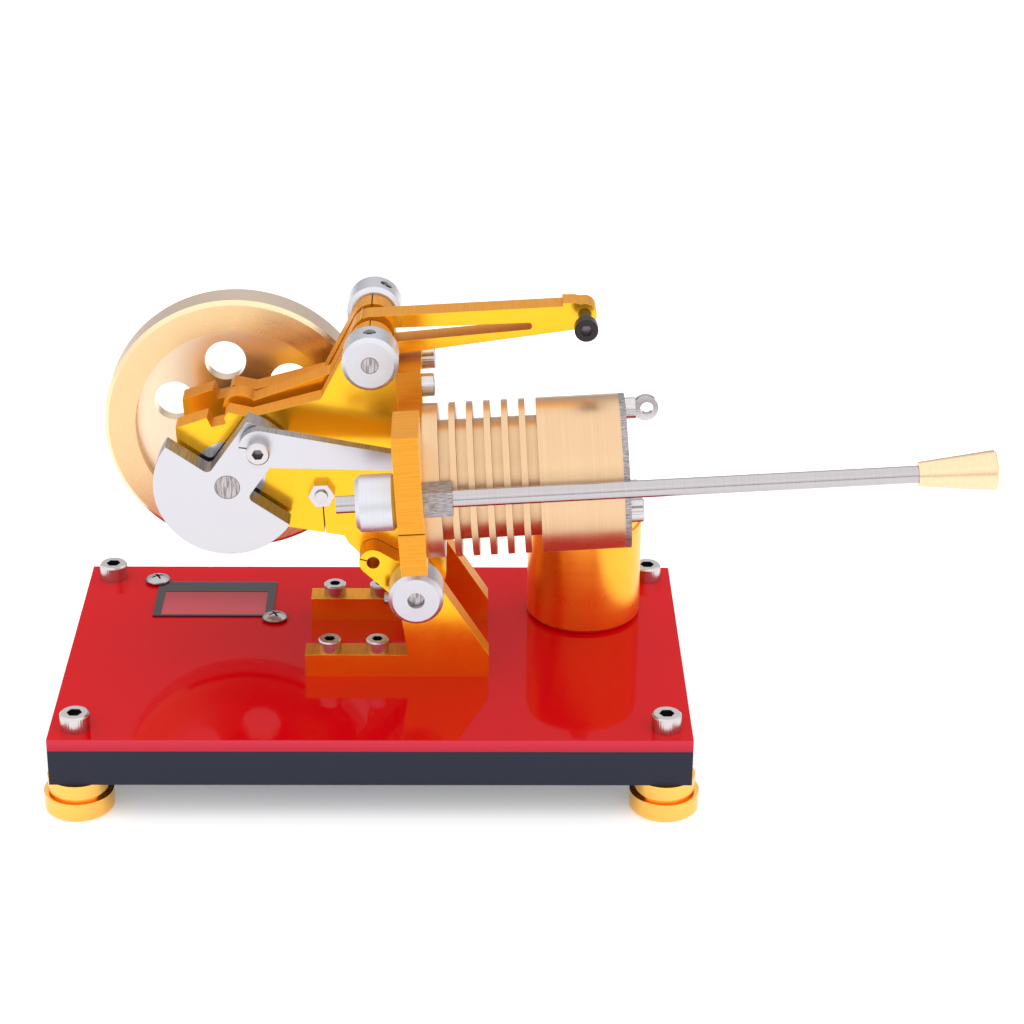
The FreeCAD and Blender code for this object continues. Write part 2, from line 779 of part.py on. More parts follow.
spacer = turned(
    "tie_spacer",
    [
        ("(Dims.small_screw_diameter + Dims.screw_clearance) / 2", "0"),
        ("Dims.spacer_radius", "0"),
        ("Dims.spacer_radius", "Dims.plate_gap"),
        ("(Dims.small_screw_diameter + Dims.screw_clearance) / 2", "Dims.plate_gap"),
    ],
)
keep(spacer, engine_place(D.tie_x, PLATE_FRONT_Y + STOCK / 2, D.tie_height, AWAY))
cap_screw(
    "tie_bolt",
    "Dims.small_screw_diameter",
    "2 * Dims.stock_thickness + Dims.plate_gap + Dims.nut_thickness + 0.8",
    engine_place(D.tie_x, PLATE_BACK_Y + STOCK / 2, D.tie_height, AWAY),
)
nut = new_body("tie_nut")
nut_hole = ("0", "0", "(Dims.small_screw_diameter + Dims.screw_clearance) / 2")
pad(nut, "XY_Plane", [hexagon("Dims.nut_flats"), nut_hole], "Dims.nut_thickness", from_plane=True)
keep(nut, engine_place(D.tie_x, PLATE_FRONT_Y - STOCK / 2, D.tie_height, TO_VIEWER))

# Flange plate, square to the cylinder, with an ear in front for the handle


def flange():
    body = new_body("flange_plate")
    back = "Dims.leg_front_y + Dims.side_gap + Dims.plate_gap + 2.5 * Dims.stock_thickness"
    tab = "Dims.leg_front_y + Dims.side_gap + 0.5 * Dims.stock_thickness"
    outline = [
        (back, "Dims.flange_bottom"),
        (back, "Dims.flange_top"),
        (tab, "Dims.flange_top"),
        (tab, "Dims.valley_height"),
        ("Dims.ear_back", "Dims.valley_height"),
        ("Dims.ear_back", "Dims.flange_top"),
        ("Dims.flange_front + Dims.ear_corner", "Dims.flange_top"),
        ("Dims.flange_front", "Dims.flange_top - Dims.ear_corner"),
        ("Dims.flange_front", "Dims.ear_bend"),
        ("Dims.flange_front + Dims.ear_step", "Dims.axis_height"),
        ("Dims.flange_front + Dims.ear_step", "Dims.flange_bottom"),
    ]
    pad(body, "YZ_Plane", [outline], "Dims.stock_thickness", from_plane=True)
    window = ("Dims.cylinder_y", "Dims.axis_height", "Dims.window_radius")
    handle = ("Dims.handle_y", "Dims.handle_height", "(Dims.shaft_diameter + Dims.screw_clearance) / 2")
    screw = "(Dims.small_screw_diameter + Dims.screw_clearance) / 2"
    front = "Dims.leg_front_y + Dims.side_gap + Dims.stock_thickness"
    rear = "%s + Dims.stock_thickness + Dims.plate_gap" % front
    holes = [
        window,
        handle,
        (front, "Dims.flange_screw_height", screw),
        (rear, "Dims.flange_screw_height", screw),
    ]
    pocket(body, "YZ_Plane", holes, "Dims.stock_thickness + 1", from_plane=True, reverse=True)
    relief = box_outline(
        "Dims.cylinder_y - Dims.relief_half",
        "Dims.axis_height",
        "Dims.cylinder_y + Dims.relief_half",
        "Dims.axis_height + Dims.relief_height",
    )
    pocket(body, "YZ_Plane", [relief], "Dims.stock_thickness + 1", from_plane=True, reverse=True)
    cut = [
        ("Dims.flange_front - 1", "Dims.axis_height - Dims.slit_width / 2"),
        ("Dims.cylinder_y", "Dims.axis_height - Dims.slit_width / 2"),
        ("Dims.cylinder_y", "Dims.axis_height + Dims.slit_width / 2"),
        ("Dims.flange_front - 1", "Dims.axis_height + Dims.slit_width / 2"),
    ]
    pocket(body, "YZ_Plane", [cut], "Dims.stock_thickness + 1", from_plane=True, reverse=True)
    return keep(body, engine_place(D.flange_left, 0, 0))


flange()
for label, y in (("flange_screw_front", PLATE_FRONT_Y), ("flange_screw_back", PLATE_BACK_Y)):
    cap_screw(
        label,
        "Dims.small_screw_diameter",
        "Dims.stock_thickness + Dims.screw_grip",
        engine_place(FLANGE_RIGHT, y, D.flange_screw_height, SIDEWAYS),
    )

# Cylinder with cooling fins, its end plate, an eye screw and two cap screws


def finned_cylinder():
    outer = "Dims.cylinder_radius"
    core = "Dims.core_radius"
    profile = [("Dims.bore_radius", "0"), (outer, "0"), (outer, "Dims.ring_width"), (core, "Dims.ring_width")]
    for fin in range(int(D.fin_count)):
        start = "Dims.fin_first + %d * Dims.fin_pitch" % fin
        end = "%s + Dims.fin_width" % start
        profile += [(core, start), (outer, start), (outer, end), (core, end)]
    barrel = "Dims.fin_first + Dims.fin_count * Dims.fin_pitch"
    profile += [(core, barrel), (outer, barrel), (outer, "Dims.cylinder_length")]
    profile += [("Dims.bore_radius", "Dims.cylinder_length")]
    body = turned("cylinder", profile)
    end_holes = [screw_on_circle(step) for step in range(3)]
    depth = "Dims.screw_grip + 0.5"
    feature = body.newObject("PartDesign::Pocket", "cylinder_threads")
    sketch = draw(body, "XY_Plane", end_holes)
    sketch.setExpression(".AttachmentOffset.Base.z", "Dims.cylinder_length")
    feature.Profile = sketch
    feature.setExpression("Length", depth)
    return keep(body, engine_place(FLANGE_RIGHT, D.cylinder_y, D.axis_height, SIDEWAYS))


def screw_on_circle(step):
    """One of three screw holes round the cylinder's end, in the turned body's own frame."""
    angle = "(Dims.head_screw_angle + %d)" % (120 * step)
    radius = "(Dims.small_screw_diameter + Dims.screw_clearance) / 2"
    return (
        "-Dims.head_screw_circle * sin(%s)" % angle,
        "Dims.head_screw_circle * cos(%s)" % angle,
        radius,
    )


def head_screw_point(step, x):
    angle = math.radians(D.head_screw_angle + 120 * step)
    y = D.cylinder_y + D.head_screw_circle * math.cos(angle)
    z = D.axis_height + D.head_screw_circle * math.sin(angle)
    return engine_place(x, y, z, SIDEWAYS)


finned_cylinder()
CYLINDER_END = FLANGE_RIGHT + D.cylinder_length
HEAD_RIGHT = CYLINDER_END + D.head_thickness
head = new_body("end_plate")
head_outline = ("0", "0", "Dims.cylinder_radius")
head_holes = [screw_on_circle(step) for step in range(3)]
pad(head, "XY_Plane", [head_outline] + head_holes, "Dims.head_thickness", from_plane=True)
keep(head, engine_place(CYLINDER_END, D.cylinder_y, D.axis_height, SIDEWAYS))
for step in (1, 2):
    cap_screw(
        "end_screw_%d" % step,
        "Dims.small_screw_diameter",
        "Dims.head_thickness + Dims.screw_grip",
        head_screw_point(step, HEAD_RIGHT),
    )
EYE_CENTRE = "Dims.eye_stem_height - 0.2 + Dims.eye_radius * 0.75"
eye = turned(
    "eye_screw",
    [
        ("0", "-(Dims.head_thickness + Dims.screw_grip)"),
        ("Dims.small_screw_diameter / 2", "-(Dims.head_thickness + Dims.screw_grip)"),
        ("Dims.small_screw_diameter / 2", "0"),
        ("Dims.eye_stem_radius", "0"),
        ("Dims.eye_stem_radius", "Dims.eye_stem_height - 0.3"),
        ("Dims.eye_stem_radius - 1", "Dims.eye_stem_height"),
        ("0", "Dims.eye_stem_height"),
    ],
)
pad(eye, "YZ_Plane", [("0", EYE_CENTRE, "Dims.eye_radius")], "Dims.eye_thickness")
eye_hole = ("0", "%s + 0.3" % EYE_CENTRE, "Dims.eye_hole_radius")
pocket(eye, "YZ_Plane", [eye_hole], "Dims.eye_thickness + 4")
keep(eye, head_screw_point(0, HEAD_RIGHT).multiply(Placement(Vector(), Rotation(Vector(0, 0, 1), 90))))

# Handle: a rod through the ear, a collar on one side, a square block on the other, and a grip

round_bar(
    "handle_rod",
    "Dims.shaft_diameter / 2",
    "Dims.grip_start + Dims.grip_depth - Dims.handle_left",
    engine_place(D.handle_left, D.handle_y, D.handle_height, SIDEWAYS),
)
collar(
    "handle_collar",
    engine_place(D.flange_left - D.collar_length / 2, D.handle_y, D.handle_height, SIDEWAYS),
    90,
)
block = new_body("handle_block")
rod_hole = ("0", "0", "(Dims.shaft_diameter + Dims.screw_clearance) / 2")
block_outline = centred_box("Dims.block_side", "Dims.block_side")
pad(block, "XY_Plane", [block_outline, rod_hole], "Dims.block_length", from_plane=True)
keep(block, engine_place(FLANGE_RIGHT, D.handle_y, D.handle_height, SIDEWAYS))
rod_fit = "(Dims.shaft_diameter + Dims.screw_clearance) / 2"
grip = turned(
    "handle_grip",
    [
        (rod_fit, "0"),
        ("Dims.grip_small_radius", "0"),
        ("Dims.grip_large_radius", "Dims.grip_length - 0.4"),
        ("Dims.grip_large_radius - 0.4", "Dims.grip_length"),
        ("0", "Dims.grip_length"),
        ("0", "Dims.grip_depth"),
        (rod_fit, "Dims.grip_depth"),
    ],
)
keep(grip, engine_place(D.grip_start, D.handle_y, D.handle_height, SIDEWAYS))

# Crankshaft, crank web with its arm, cam and flywheel

round_bar(
    "crankshaft",
    "Dims.crank_radius",
    "Dims.flywheel_front + Dims.flywheel_width + Dims.shaft_out - Dims.web_front",
    engine_place(D.crank_x, D.web_front, D.axis_height, AWAY),
)


def crank_web():
    """A half disc with a straight arm, drawn with the arm along +x."""
    body = new_body("crank_web")
    disc = ("0", "0", "Dims.web_radius")
    pad(body, "XZ_Plane", [disc], "Dims.stock_thickness")
    beyond = "Dims.web_radius + 2"
    for side in (1, -1):
        corner = []
        for turn in (270, 240, 210, 180):
            along = "Dims.web_edge + Dims.web_round * (1 + cos(%d))" % turn
            across = "%d * (Dims.web_arm_half + Dims.web_round * (1 + sin(%d)))" % (side, turn)
            corner.append((along, across))
        corner.append(("Dims.web_edge", "%d * (%s)" % (side, beyond)))
        corner.append((beyond, "%d * (%s)" % (side, beyond)))
        corner.append((beyond, "%d * Dims.web_arm_half" % side))
        pocket(body, "XZ_Plane", [corner], "Dims.stock_thickness + 1")
    arm = [
        ("0", "-Dims.web_arm_half"),
        ("Dims.web_arm_reach", "-Dims.web_arm_half"),
        ("Dims.web_arm_reach", "Dims.web_arm_half"),
        ("0", "Dims.web_arm_half"),
    ]
    pad(body, "XZ_Plane", [arm], "Dims.stock_thickness")
    pocket(body, "XZ_Plane", [("0", "0", "Dims.crank_radius")], "Dims.stock_thickness + 1")
    turn = Rotation(Vector(0, 1, 0), -D.crank_angle)
    return keep(body, engine_place(D.crank_x, D.web_front + STOCK / 2, D.axis_height, turn))


crank_web()
cam = new_body("cam")
pad(cam, "XZ_Plane", [("0", "0", "Dims.cam_radius")], "Dims.cam_thickness")
lobe = ("Dims.cam_reach - Dims.cam_lobe_radius", "0", "Dims.cam_lobe_radius")
pad(cam, "XZ_Plane", [lobe], "Dims.cam_thickness")
pocket(cam, "XZ_Plane", [("0", "0", "Dims.crank_radius")], "Dims.cam_thickness + 1")
cam_turn = Rotation(Vector(0, 1, 0), -D.cam_angle)
keep(cam, engine_place(D.crank_x, MIDDLE_Y, D.axis_height, cam_turn))


def flywheel():
    rim = "Dims.flywheel_radius"
    edge = "Dims.flywheel_edge"
    width = "Dims.flywheel_width"
    recess = "Dims.recess_depth"
    body = turned(
        "flywheel",
        [
            ("Dims.crank_radius", "0"),
            ("Dims.hub_radius", "0"),
            ("Dims.hub_radius", recess),
            ("Dims.rim_radius", recess),
            ("Dims.rim_radius", "0"),
            ("%s - %s" % (rim, edge), "0"),
            (rim, edge),
            (rim, "%s - %s" % (width, edge)),
            ("%s - %s" % (rim, edge), width),
            ("Dims.rim_radius", width),
            ("Dims.rim_radius", "%s - %s" % (width, recess)),
            ("Dims.hub_radius", "%s - %s" % (width, recess)),
            ("Dims.hub_radius", width),
            ("Dims.crank_radius", width),
        ],
    )
    holes = []
    for step in range(6):
        angle = "(Dims.lightening_angle + %d)" % (60 * step)
        across = "Dims.lightening_circle * cos(%s)" % angle
        up = "-Dims.lightening_circle * sin(%s)" % angle
        holes.append((across, up, "Dims.lightening_radius"))
    pocket(body, "XY_Plane", holes, "Dims.flywheel_width", from_plane=True, reverse=True)
    return keep(body, engine_place(D.crank_x, D.flywheel_front, D.axis_height, AWAY))


flywheel()

# Connecting rod, its crank pin screw, the piston and the gudgeon pin

CRANK = math.radians(D.crank_angle)
PIN_X = D.crank_x + D.throw * math.cos(CRANK)
PIN_RISE = D.throw * math.sin(CRANK)
ROD_ANGLE = math.degrees(math.asin(PIN_RISE / D.rod_length))
GUDGEON_X = PIN_X + D.rod_length * math.cos(math.radians(ROD_ANGLE))


def connecting_rod():
    """Drawn with the gudgeon hole at the origin and the big end at -x."""
    body = new_body("con_rod")
    neck = "Dims.rod_neck_half"
    big = "Dims.big_end_radius"
    outline = [
        ("0", "-%s" % neck),
        ("0", neck),
        ("-Dims.rod_length + Dims.rod_taper", neck),
        ("-Dims.rod_length + %s * 0.1" % big, big),
        ("-Dims.rod_length + %s * 0.1" % big, "-%s" % big),
        ("-Dims.rod_length + Dims.rod_taper", "-%s" % neck),
    ]
    pad(body, "XZ_Plane", [outline], "Dims.rod_thickness")
    for end in (("0", "0", "Dims.small_end_radius"), ("-Dims.rod_length", "0", big)):
        pad(body, "XZ_Plane", [end], "Dims.rod_thickness")
    holes = [
        ("0", "0", "Dims.gudgeon_diameter / 2 + Dims.running_clearance"),
        ("-Dims.rod_length", "0", "(Dims.small_screw_diameter + Dims.screw_clearance) / 2"),
    ]
    pocket(body, "XZ_Plane", holes, "Dims.rod_thickness + 1")
    cut = [
        ("-Dims.rod_length - %s - 1" % big, "-Dims.slit_width / 2"),
        ("-Dims.rod_length", "-Dims.slit_width / 2"),
        ("-Dims.rod_length", "Dims.slit_width / 2"),
        ("-Dims.rod_length - %s - 1" % big, "Dims.slit_width / 2"),
    ]
    pocket(body, "XZ_Plane", [cut], "Dims.rod_thickness + 1")
    turn = Rotation(Vector(0, 1, 0), ROD_ANGLE)
    return keep(body, engine_place(GUDGEON_X, D.cylinder_y, D.axis_height, turn))


connecting_rod()
ROD_FRONT = D.cylinder_y - D.rod_thickness / 2
cap_screw(
    "crank_pin_screw",
    "Dims.small_screw_diameter",
    "Dims.web_front - Dims.cylinder_y + Dims.rod_thickness / 2 - Dims.pin_tip_gap",
    engine_place(PIN_X, ROD_FRONT, D.axis_height + PIN_RISE, TO_VIEWER),
)
piston_radius = "(Dims.bore_radius - Dims.running_clearance)"
piston = turned(
    "piston",
    [
        ("%s - Dims.piston_wall" % piston_radius, "-Dims.piston_behind"),
        (piston_radius, "-Dims.piston_behind"),
        (piston_radius, "Dims.piston_ahead"),
        ("0", "Dims.piston_ahead"),
        ("0", "Dims.piston_ahead - Dims.piston_crown"),
        ("%s - Dims.piston_wall" % piston_radius, "Dims.piston_ahead - Dims.piston_crown"),
    ],
)
pocket(piston, "XZ_Plane", [("0", "0", "Dims.gudgeon_diameter / 2")], "2 * Dims.bore_radius + 2")
keep(piston, engine_place(GUDGEON_X, D.cylinder_y, D.axis_height, SIDEWAYS))
round_bar(
    "gudgeon_pin",
    "Dims.gudgeon_diameter / 2",
    "2 * Dims.bore_radius - 1.6",
    engine_place(GUDGEON_X, D.cylinder_y - D.bore_radius + 0.8, D.axis_height, AWAY),
)

# Valve lever on its shaft between two collars, and the black screw at its end


def valve_lever():
    body = new_body("valve_lever")
    hub = "Dims.boss_radius"
    tip = "Dims.lever_reach"
    rise = "Dims.lever_tip_rise"
    end = "Dims.lever_tip_radius"
    right_arm = [
        ("0", "-%s" % hub),
        ("10.6", "-4.2"),
        ("%s - 2.4" % tip, "%s - 3.5" % rise),
        ("%s + %s * 0.9" % (tip, end), "%s - %s * 0.4" % (rise, end)),
        ("%s + %s * 0.7" % (tip, end), "%s + %s * 0.7" % (rise, end)),
        ("%s - 2.2" % tip, "%s + 3.1" % rise),
        ("%s - 5" % tip, "%s + 3.2" % rise),
        ("%s - 5" % tip, "%s + 2.4" % rise),
        ("0", hub),
    ]
    nose_x = "-Dims.nose_back"
    nose_z = "-Dims.nose_drop"
    left_arm = [
        ("1.5", "-%s * 0.9" % hub),
        ("-2", hub),
        ("-%s * 0.9" % hub, "%s * 0.4" % hub),
        ("-10.75", "-8.8"),
        ("%s + 3.5" % nose_x, "%s + 2.5" % nose_z),
        ("%s" % nose_x, "%s + Dims.nose_radius" % nose_z),
        ("%s" % nose_x, "%s - Dims.nose_radius" % nose_z),
        ("%s + 5" % nose_x, "%s - Dims.nose_radius" % nose_z),
        ("-8.2", "-14.4"),
    ]
    pad(body, "XZ_Plane", [right_arm], "Dims.stock_thickness")
    pad(body, "XZ_Plane", [left_arm], "Dims.stock_thickness")
    rounds = [("0", "0", hub), (nose_x, nose_z, "Dims.nose_radius"), (tip, rise, end)]
    for shape in rounds:
        pad(body, "XZ_Plane", [shape], "Dims.stock_thickness")
    slot = [
        ("Dims.slot_start", "1.9"),
        ("Dims.slot_start", "-1.6"),
        ("Dims.slot_end", "0.55 - Dims.slot_end_radius"),
        ("Dims.slot_end", "0.55 + Dims.slot_end_radius"),
    ]
    shaft_hole = ("0", "0", "(Dims.shaft_diameter + Dims.screw_clearance) / 2")
    screw_hole = (tip, rise, "(Dims.small_screw_diameter + Dims.screw_clearance) / 2")
    pocket(body, "XZ_Plane", [slot, shaft_hole, screw_hole], "Dims.stock_thickness + 1")
    slot_end = ("Dims.slot_end", "0.55", "Dims.slot_end_radius")
    pocket(body, "XZ_Plane", [slot_end], "Dims.stock_thickness + 1")
    return keep(body, engine_place(D.pivot_x, MIDDLE_Y, D.pivot_height))


valve_lever()
FRONT_COLLAR_Y = PLATE_FRONT_Y - STOCK / 2 - D.collar_gap - D.collar_length / 2
BACK_COLLAR_Y = PLATE_BACK_Y + STOCK / 2 + D.collar_gap + D.collar_length / 2
round_bar(
    "lever_shaft",
    "Dims.shaft_diameter / 2",
    "2 * (Dims.collar_length + Dims.collar_gap + Dims.stock_thickness) + Dims.plate_gap",
    engine_place(D.pivot_x, FRONT_COLLAR_Y - D.collar_length / 2, D.pivot_height, AWAY),
)
for label, y, turn in (
    ("lever_collar_front", FRONT_COLLAR_Y, -88),
    ("lever_collar_back", BACK_COLLAR_Y, -60),
):
    collar(label, engine_place(D.pivot_x, y, D.pivot_height, AWAY), turn)
cap_screw(
    "lever_screw",
    "Dims.small_screw_diameter",
    "Dims.lever_screw_length",
    engine_place(
        D.pivot_x + D.lever_reach,
        MIDDLE_Y + STOCK / 2 - D.lever_screw_length,
        D.pivot_height + D.lever_tip_rise,
        TO_VIEWER,
    ),
)

# Checks, then one file for each sub-part

doc.recompute()
for item in doc.Objects:
    if "Invalid" in item.State or "Error" in item.State:
        raise RuntimeError("%s did not recompute" % item.Name)
os.makedirs("parts", exist_ok=True)
for body in parts:
    shape = body.Shape
    if shape.isNull() or not shape.isValid():
        raise RuntimeError("%s has no valid shape" % body.Label)
    if len(shape.Solids) != 1:
        raise RuntimeError("%s has %d solids" % (body.Label, len(shape.Solids)))
    shape.exportStep("parts/%s.step" % body.Label)
print("sub-parts:", len(parts))
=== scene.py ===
# %% [markdown]
# A flame-heated engine model, dressed for its picture.
# The engine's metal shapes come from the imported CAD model. This lesson adds what CAD leaves out:
# the studio, the finish of every piece, and small things that are easier to model by hand.
# Everything is in metres, in the CAD's own frame, so a piece goes where the CAD says.

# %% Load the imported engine
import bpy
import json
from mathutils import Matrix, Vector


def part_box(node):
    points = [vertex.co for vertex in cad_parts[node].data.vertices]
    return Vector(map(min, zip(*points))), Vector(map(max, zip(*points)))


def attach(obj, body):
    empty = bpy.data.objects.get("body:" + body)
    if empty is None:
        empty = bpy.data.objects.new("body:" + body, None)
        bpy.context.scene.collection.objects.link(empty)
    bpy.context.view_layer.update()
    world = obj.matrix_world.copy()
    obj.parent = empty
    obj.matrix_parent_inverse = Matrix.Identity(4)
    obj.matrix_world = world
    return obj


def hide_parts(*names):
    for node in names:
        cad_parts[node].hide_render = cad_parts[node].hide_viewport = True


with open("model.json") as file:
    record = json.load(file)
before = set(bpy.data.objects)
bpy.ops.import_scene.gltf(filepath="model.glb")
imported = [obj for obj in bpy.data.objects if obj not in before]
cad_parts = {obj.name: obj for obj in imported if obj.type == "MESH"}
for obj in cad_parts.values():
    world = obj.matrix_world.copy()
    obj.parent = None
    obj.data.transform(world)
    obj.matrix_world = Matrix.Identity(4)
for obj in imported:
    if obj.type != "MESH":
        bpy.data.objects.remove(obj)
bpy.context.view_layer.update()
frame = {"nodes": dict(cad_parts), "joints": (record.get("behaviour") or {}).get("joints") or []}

# %% Names used all through
import json
import math
import random

import bpy
from mathutils import Matrix, Vector

MM = 0.001
NODES = frame["nodes"]
JOINTS = {joint["name"]: joint for joint in frame["joints"]}
SLIDE = JOINTS["piston_slide"]["axis"]
TILT = math.atan2(SLIDE[2], SLIDE[0])
print("engine tilt in degrees:", round(math.degrees(TILT), 2))

# %% [markdown]
# The camera stands where the photographer's did. Its place, turn and focal length were worked out
# from the corners of the base and the axes of the shafts, so a long lens and no shift are enough.

# %% Camera at the photograph's angle
PHOTO_SIDE = 1024
FOCAL_PIXELS = 2731.57
SENSOR = 36.0
CAMERA_PLACE = Vector((21.49, -594.45, 340.33)) * MM
YAW = math.radians(1.115)
PITCH = math.radians(25.373)
ROLL = math.radians(-0.639)


def add_camera():
    level = Vector((math.cos(YAW), -math.sin(YAW), 0))
    ahead = Vector((math.sin(YAW) * math.cos(PITCH), math.cos(YAW) * math.cos(PITCH), -math.sin(PITCH)))
    down = ahead.cross(level)
    right = level * math.cos(ROLL) + down * math.sin(ROLL)
    below = down * math.cos(ROLL) - level * math.sin(ROLL)
    lens = bpy.data.cameras.new("camera")
    lens.sensor_width = SENSOR
    lens.lens = FOCAL_PIXELS / PHOTO_SIDE * SENSOR
    camera = bpy.data.objects.new("camera", lens)
    bpy.context.scene.collection.objects.link(camera)
    turn = Matrix((right, -below, -ahead)).transposed().to_4x4()
    camera.matrix_world = Matrix.Translation(CAMERA_PLACE) @ turn
    bpy.context.scene.camera = camera
    return lens.lens


print("lens in mm:", round(add_camera(), 2))

# %% [markdown]
# Materials are node trees, and a tree is easier to read as a formula. Value wraps one socket and
# lets Python's own signs work on it, so "1 - mask" adds a Math node. Tree adds any other node from
# its type, its settings and what goes into its sockets.

# %% Node trees written as expressions


class Value:
    """What one socket gives, for use in plain expressions."""

    def __init__(self, tree, node, index=0):
        self.tree = tree
        self.node = node
        self.socket = node.outputs[index]

    def output(self, index):
        return Value(self.tree, self.node, index)

    def math(self, operation, first, second=0.0):
        return self.tree.add("ShaderNodeMath", {"operation": operation}, {0: first, 1: second})

    def __add__(self, other):
        return self.math("ADD", self, other)

    def __radd__(self, other):
        return self.math("ADD", other, self)

    def __sub__(self, other):
        return self.math("SUBTRACT", self, other)

    def __rsub__(self, other):
        return self.math("SUBTRACT", other, self)

    def __mul__(self, other):
        return self.math("MULTIPLY", self, other)

    def __pow__(self, power):
        return self.math("POWER", self, power)

    def __abs__(self):
        return self.math("ABSOLUTE", self)

    def higher(self, other):
        return self.math("MAXIMUM", self, other)

    def lower(self, other):
        return self.math("MINIMUM", self, other)

    def angle(self, other):
        return self.math("ARCTAN2", self, other)

    def sine(self):
        return self.math("SINE", self)

    def ease(self, low, high):
        """0 below low, 1 above high, and a soft step between them."""
        settings = {"interpolation_type": "SMOOTHSTEP"}
        return self.tree.add("ShaderNodeMapRange", settings, {"Value": self, 1: low, 2: high})


class Tree:
    """A node tree that grows as its expressions are written."""

    def __init__(self, tree):
        self.nodes = tree.nodes
        self.links = tree.links
        self.nodes.clear()

    def feed(self, socket, value):
        if isinstance(value, Value):
            self.links.new(value.socket, socket)
        else:
            socket.default_value = value

    def add(self, kind, settings=None, inputs=None):
        node = self.nodes.new(kind)
        for name, setting in (settings or {}).items():
            setattr(node, name, setting)
        for name, value in (inputs or {}).items():
            self.feed(node.inputs[name], value)
        return Value(self, node)

    def split(self, vector):
        parts = self.add("ShaderNodeSeparateXYZ", None, {0: vector})
        return parts, parts.output(1), parts.output(2)

    def join(self, x, y, z):
        return self.add("ShaderNodeCombineXYZ", None, {0: x, 1: y, 2: z})

    def mix(self, factor, first, second):
        mixed = self.add("ShaderNodeMix", {"data_type": "RGBA"}, {0: factor, 6: first, 7: second})
        return mixed.output(2)

    def noise(self, vector, scale=1.0, detail=2.0, roughness=0.5):
        inputs = {"Vector": vector, "Scale": scale, "Detail": detail, "Roughness": roughness}
        return self.add("ShaderNodeTexNoise", None, inputs)


def linear(channel):
    """One channel of a screen colour, 0 to 255, as the amount of light that it stands for."""
    share = channel / 255
    if share <= 0.04045:
        return share / 12.92
    return ((share + 0.055) / 1.055) ** 2.4


def tone(red, green, blue):
    return (linear(red), linear(green), linear(blue), 1.0)


print("mid grey is", round(tone(128, 128, 128)[0], 3))

# %% [markdown]
# The studio is a pale table under soft light. Polished metal shows its surroundings more than
# itself, so the surroundings are painted on the sky around the table: a wide soft box overhead,
# lower ones at the sides and in front, and a dimmer wall behind. The camera sees plain white
# instead of that sky. The table glows a little, which keeps the shadows soft and light.

# %% Table and painted studio sky
FLOOR_SIDE = 6.0
FLOOR_TONE = tone(250, 250, 251)
FLOOR_GLOW = 0.22
WHITE = (1.0, 1.0, 1.0, 1.0)
OVERHEAD_LIGHT = 1.1
SIDE_LIGHT = 0.9
FRONT_LIGHT = 1.0
ROOM_LIGHT = 0.3
BACKDROP_LIGHT = 0.45
BACKDROP_LEAST = 0.25


def add_floor():
    bpy.ops.mesh.primitive_plane_add(size=FLOOR_SIDE, location=(0, 0, 0))
    floor = bpy.context.object
    floor.name = "floor"
    finish = bpy.data.materials.new("pale_table")
    finish.use_nodes = True
    tree = Tree(finish.node_tree)
    inputs = {"Base Color": FLOOR_TONE, "Roughness": 0.9, "Specular IOR Level": 0.1}
    inputs.update({"Emission Color": WHITE, "Emission Strength": FLOOR_GLOW})
    paper = tree.add("ShaderNodeBsdfPrincipled", None, inputs)
    output = tree.nodes.new("ShaderNodeOutputMaterial")
    tree.feed(output.inputs["Surface"], paper)
    floor.data.materials.append(finish)


def paint_sky():
    world = bpy.data.worlds.new("studio")
    world.use_nodes = True
    bpy.context.scene.world = world
    sky = Tree(world.node_tree)
    x, y, z = sky.split(sky.add("ShaderNodeTexCoord"))
    under_box = 1 - z.ease(0.5, 0.7)
    overhead = z.ease(0.42, 0.7) * OVERHEAD_LIGHT
    side = abs(x).ease(0.5, 0.8) * (1 - z.ease(0.45, 0.7)) * SIDE_LIGHT
    front = (0 - y).ease(0.35, 0.75) * z.ease(0.0, 0.2) * under_box * FRONT_LIGHT
    backdrop = y.ease(0.3, 0.75) * z.ease(0.05, 0.3) * under_box * BACKDROP_LIGHT
    light = overhead + (side + front + ROOM_LIGHT).higher(backdrop + BACKDROP_LEAST)
    for_camera = sky.add("ShaderNodeLightPath")
    strength = light * (1 - for_camera) + for_camera
    glow = sky.add("ShaderNodeBackground", None, {"Color": WHITE, "Strength": strength})
    output = sky.nodes.new("ShaderNodeOutputWorld")
    sky.feed(output.inputs["Surface"], glow)


add_floor()
paint_sky()
bpy.context.scene.view_settings.view_transform = "Standard"
print("stage and sky ready")

# %% [markdown]
# Every finish starts from one Principled shader. Its patterns are drawn on the object's own
# coordinates, in millimetres. Pieces of the tilting engine are drawn in the engine's own frame,
# so a Mapping node turns the pattern with them, and every pattern keeps to its piece.

# %% A finish with millimetre patterns
EDGE_RADIUS = 0.12 * MM


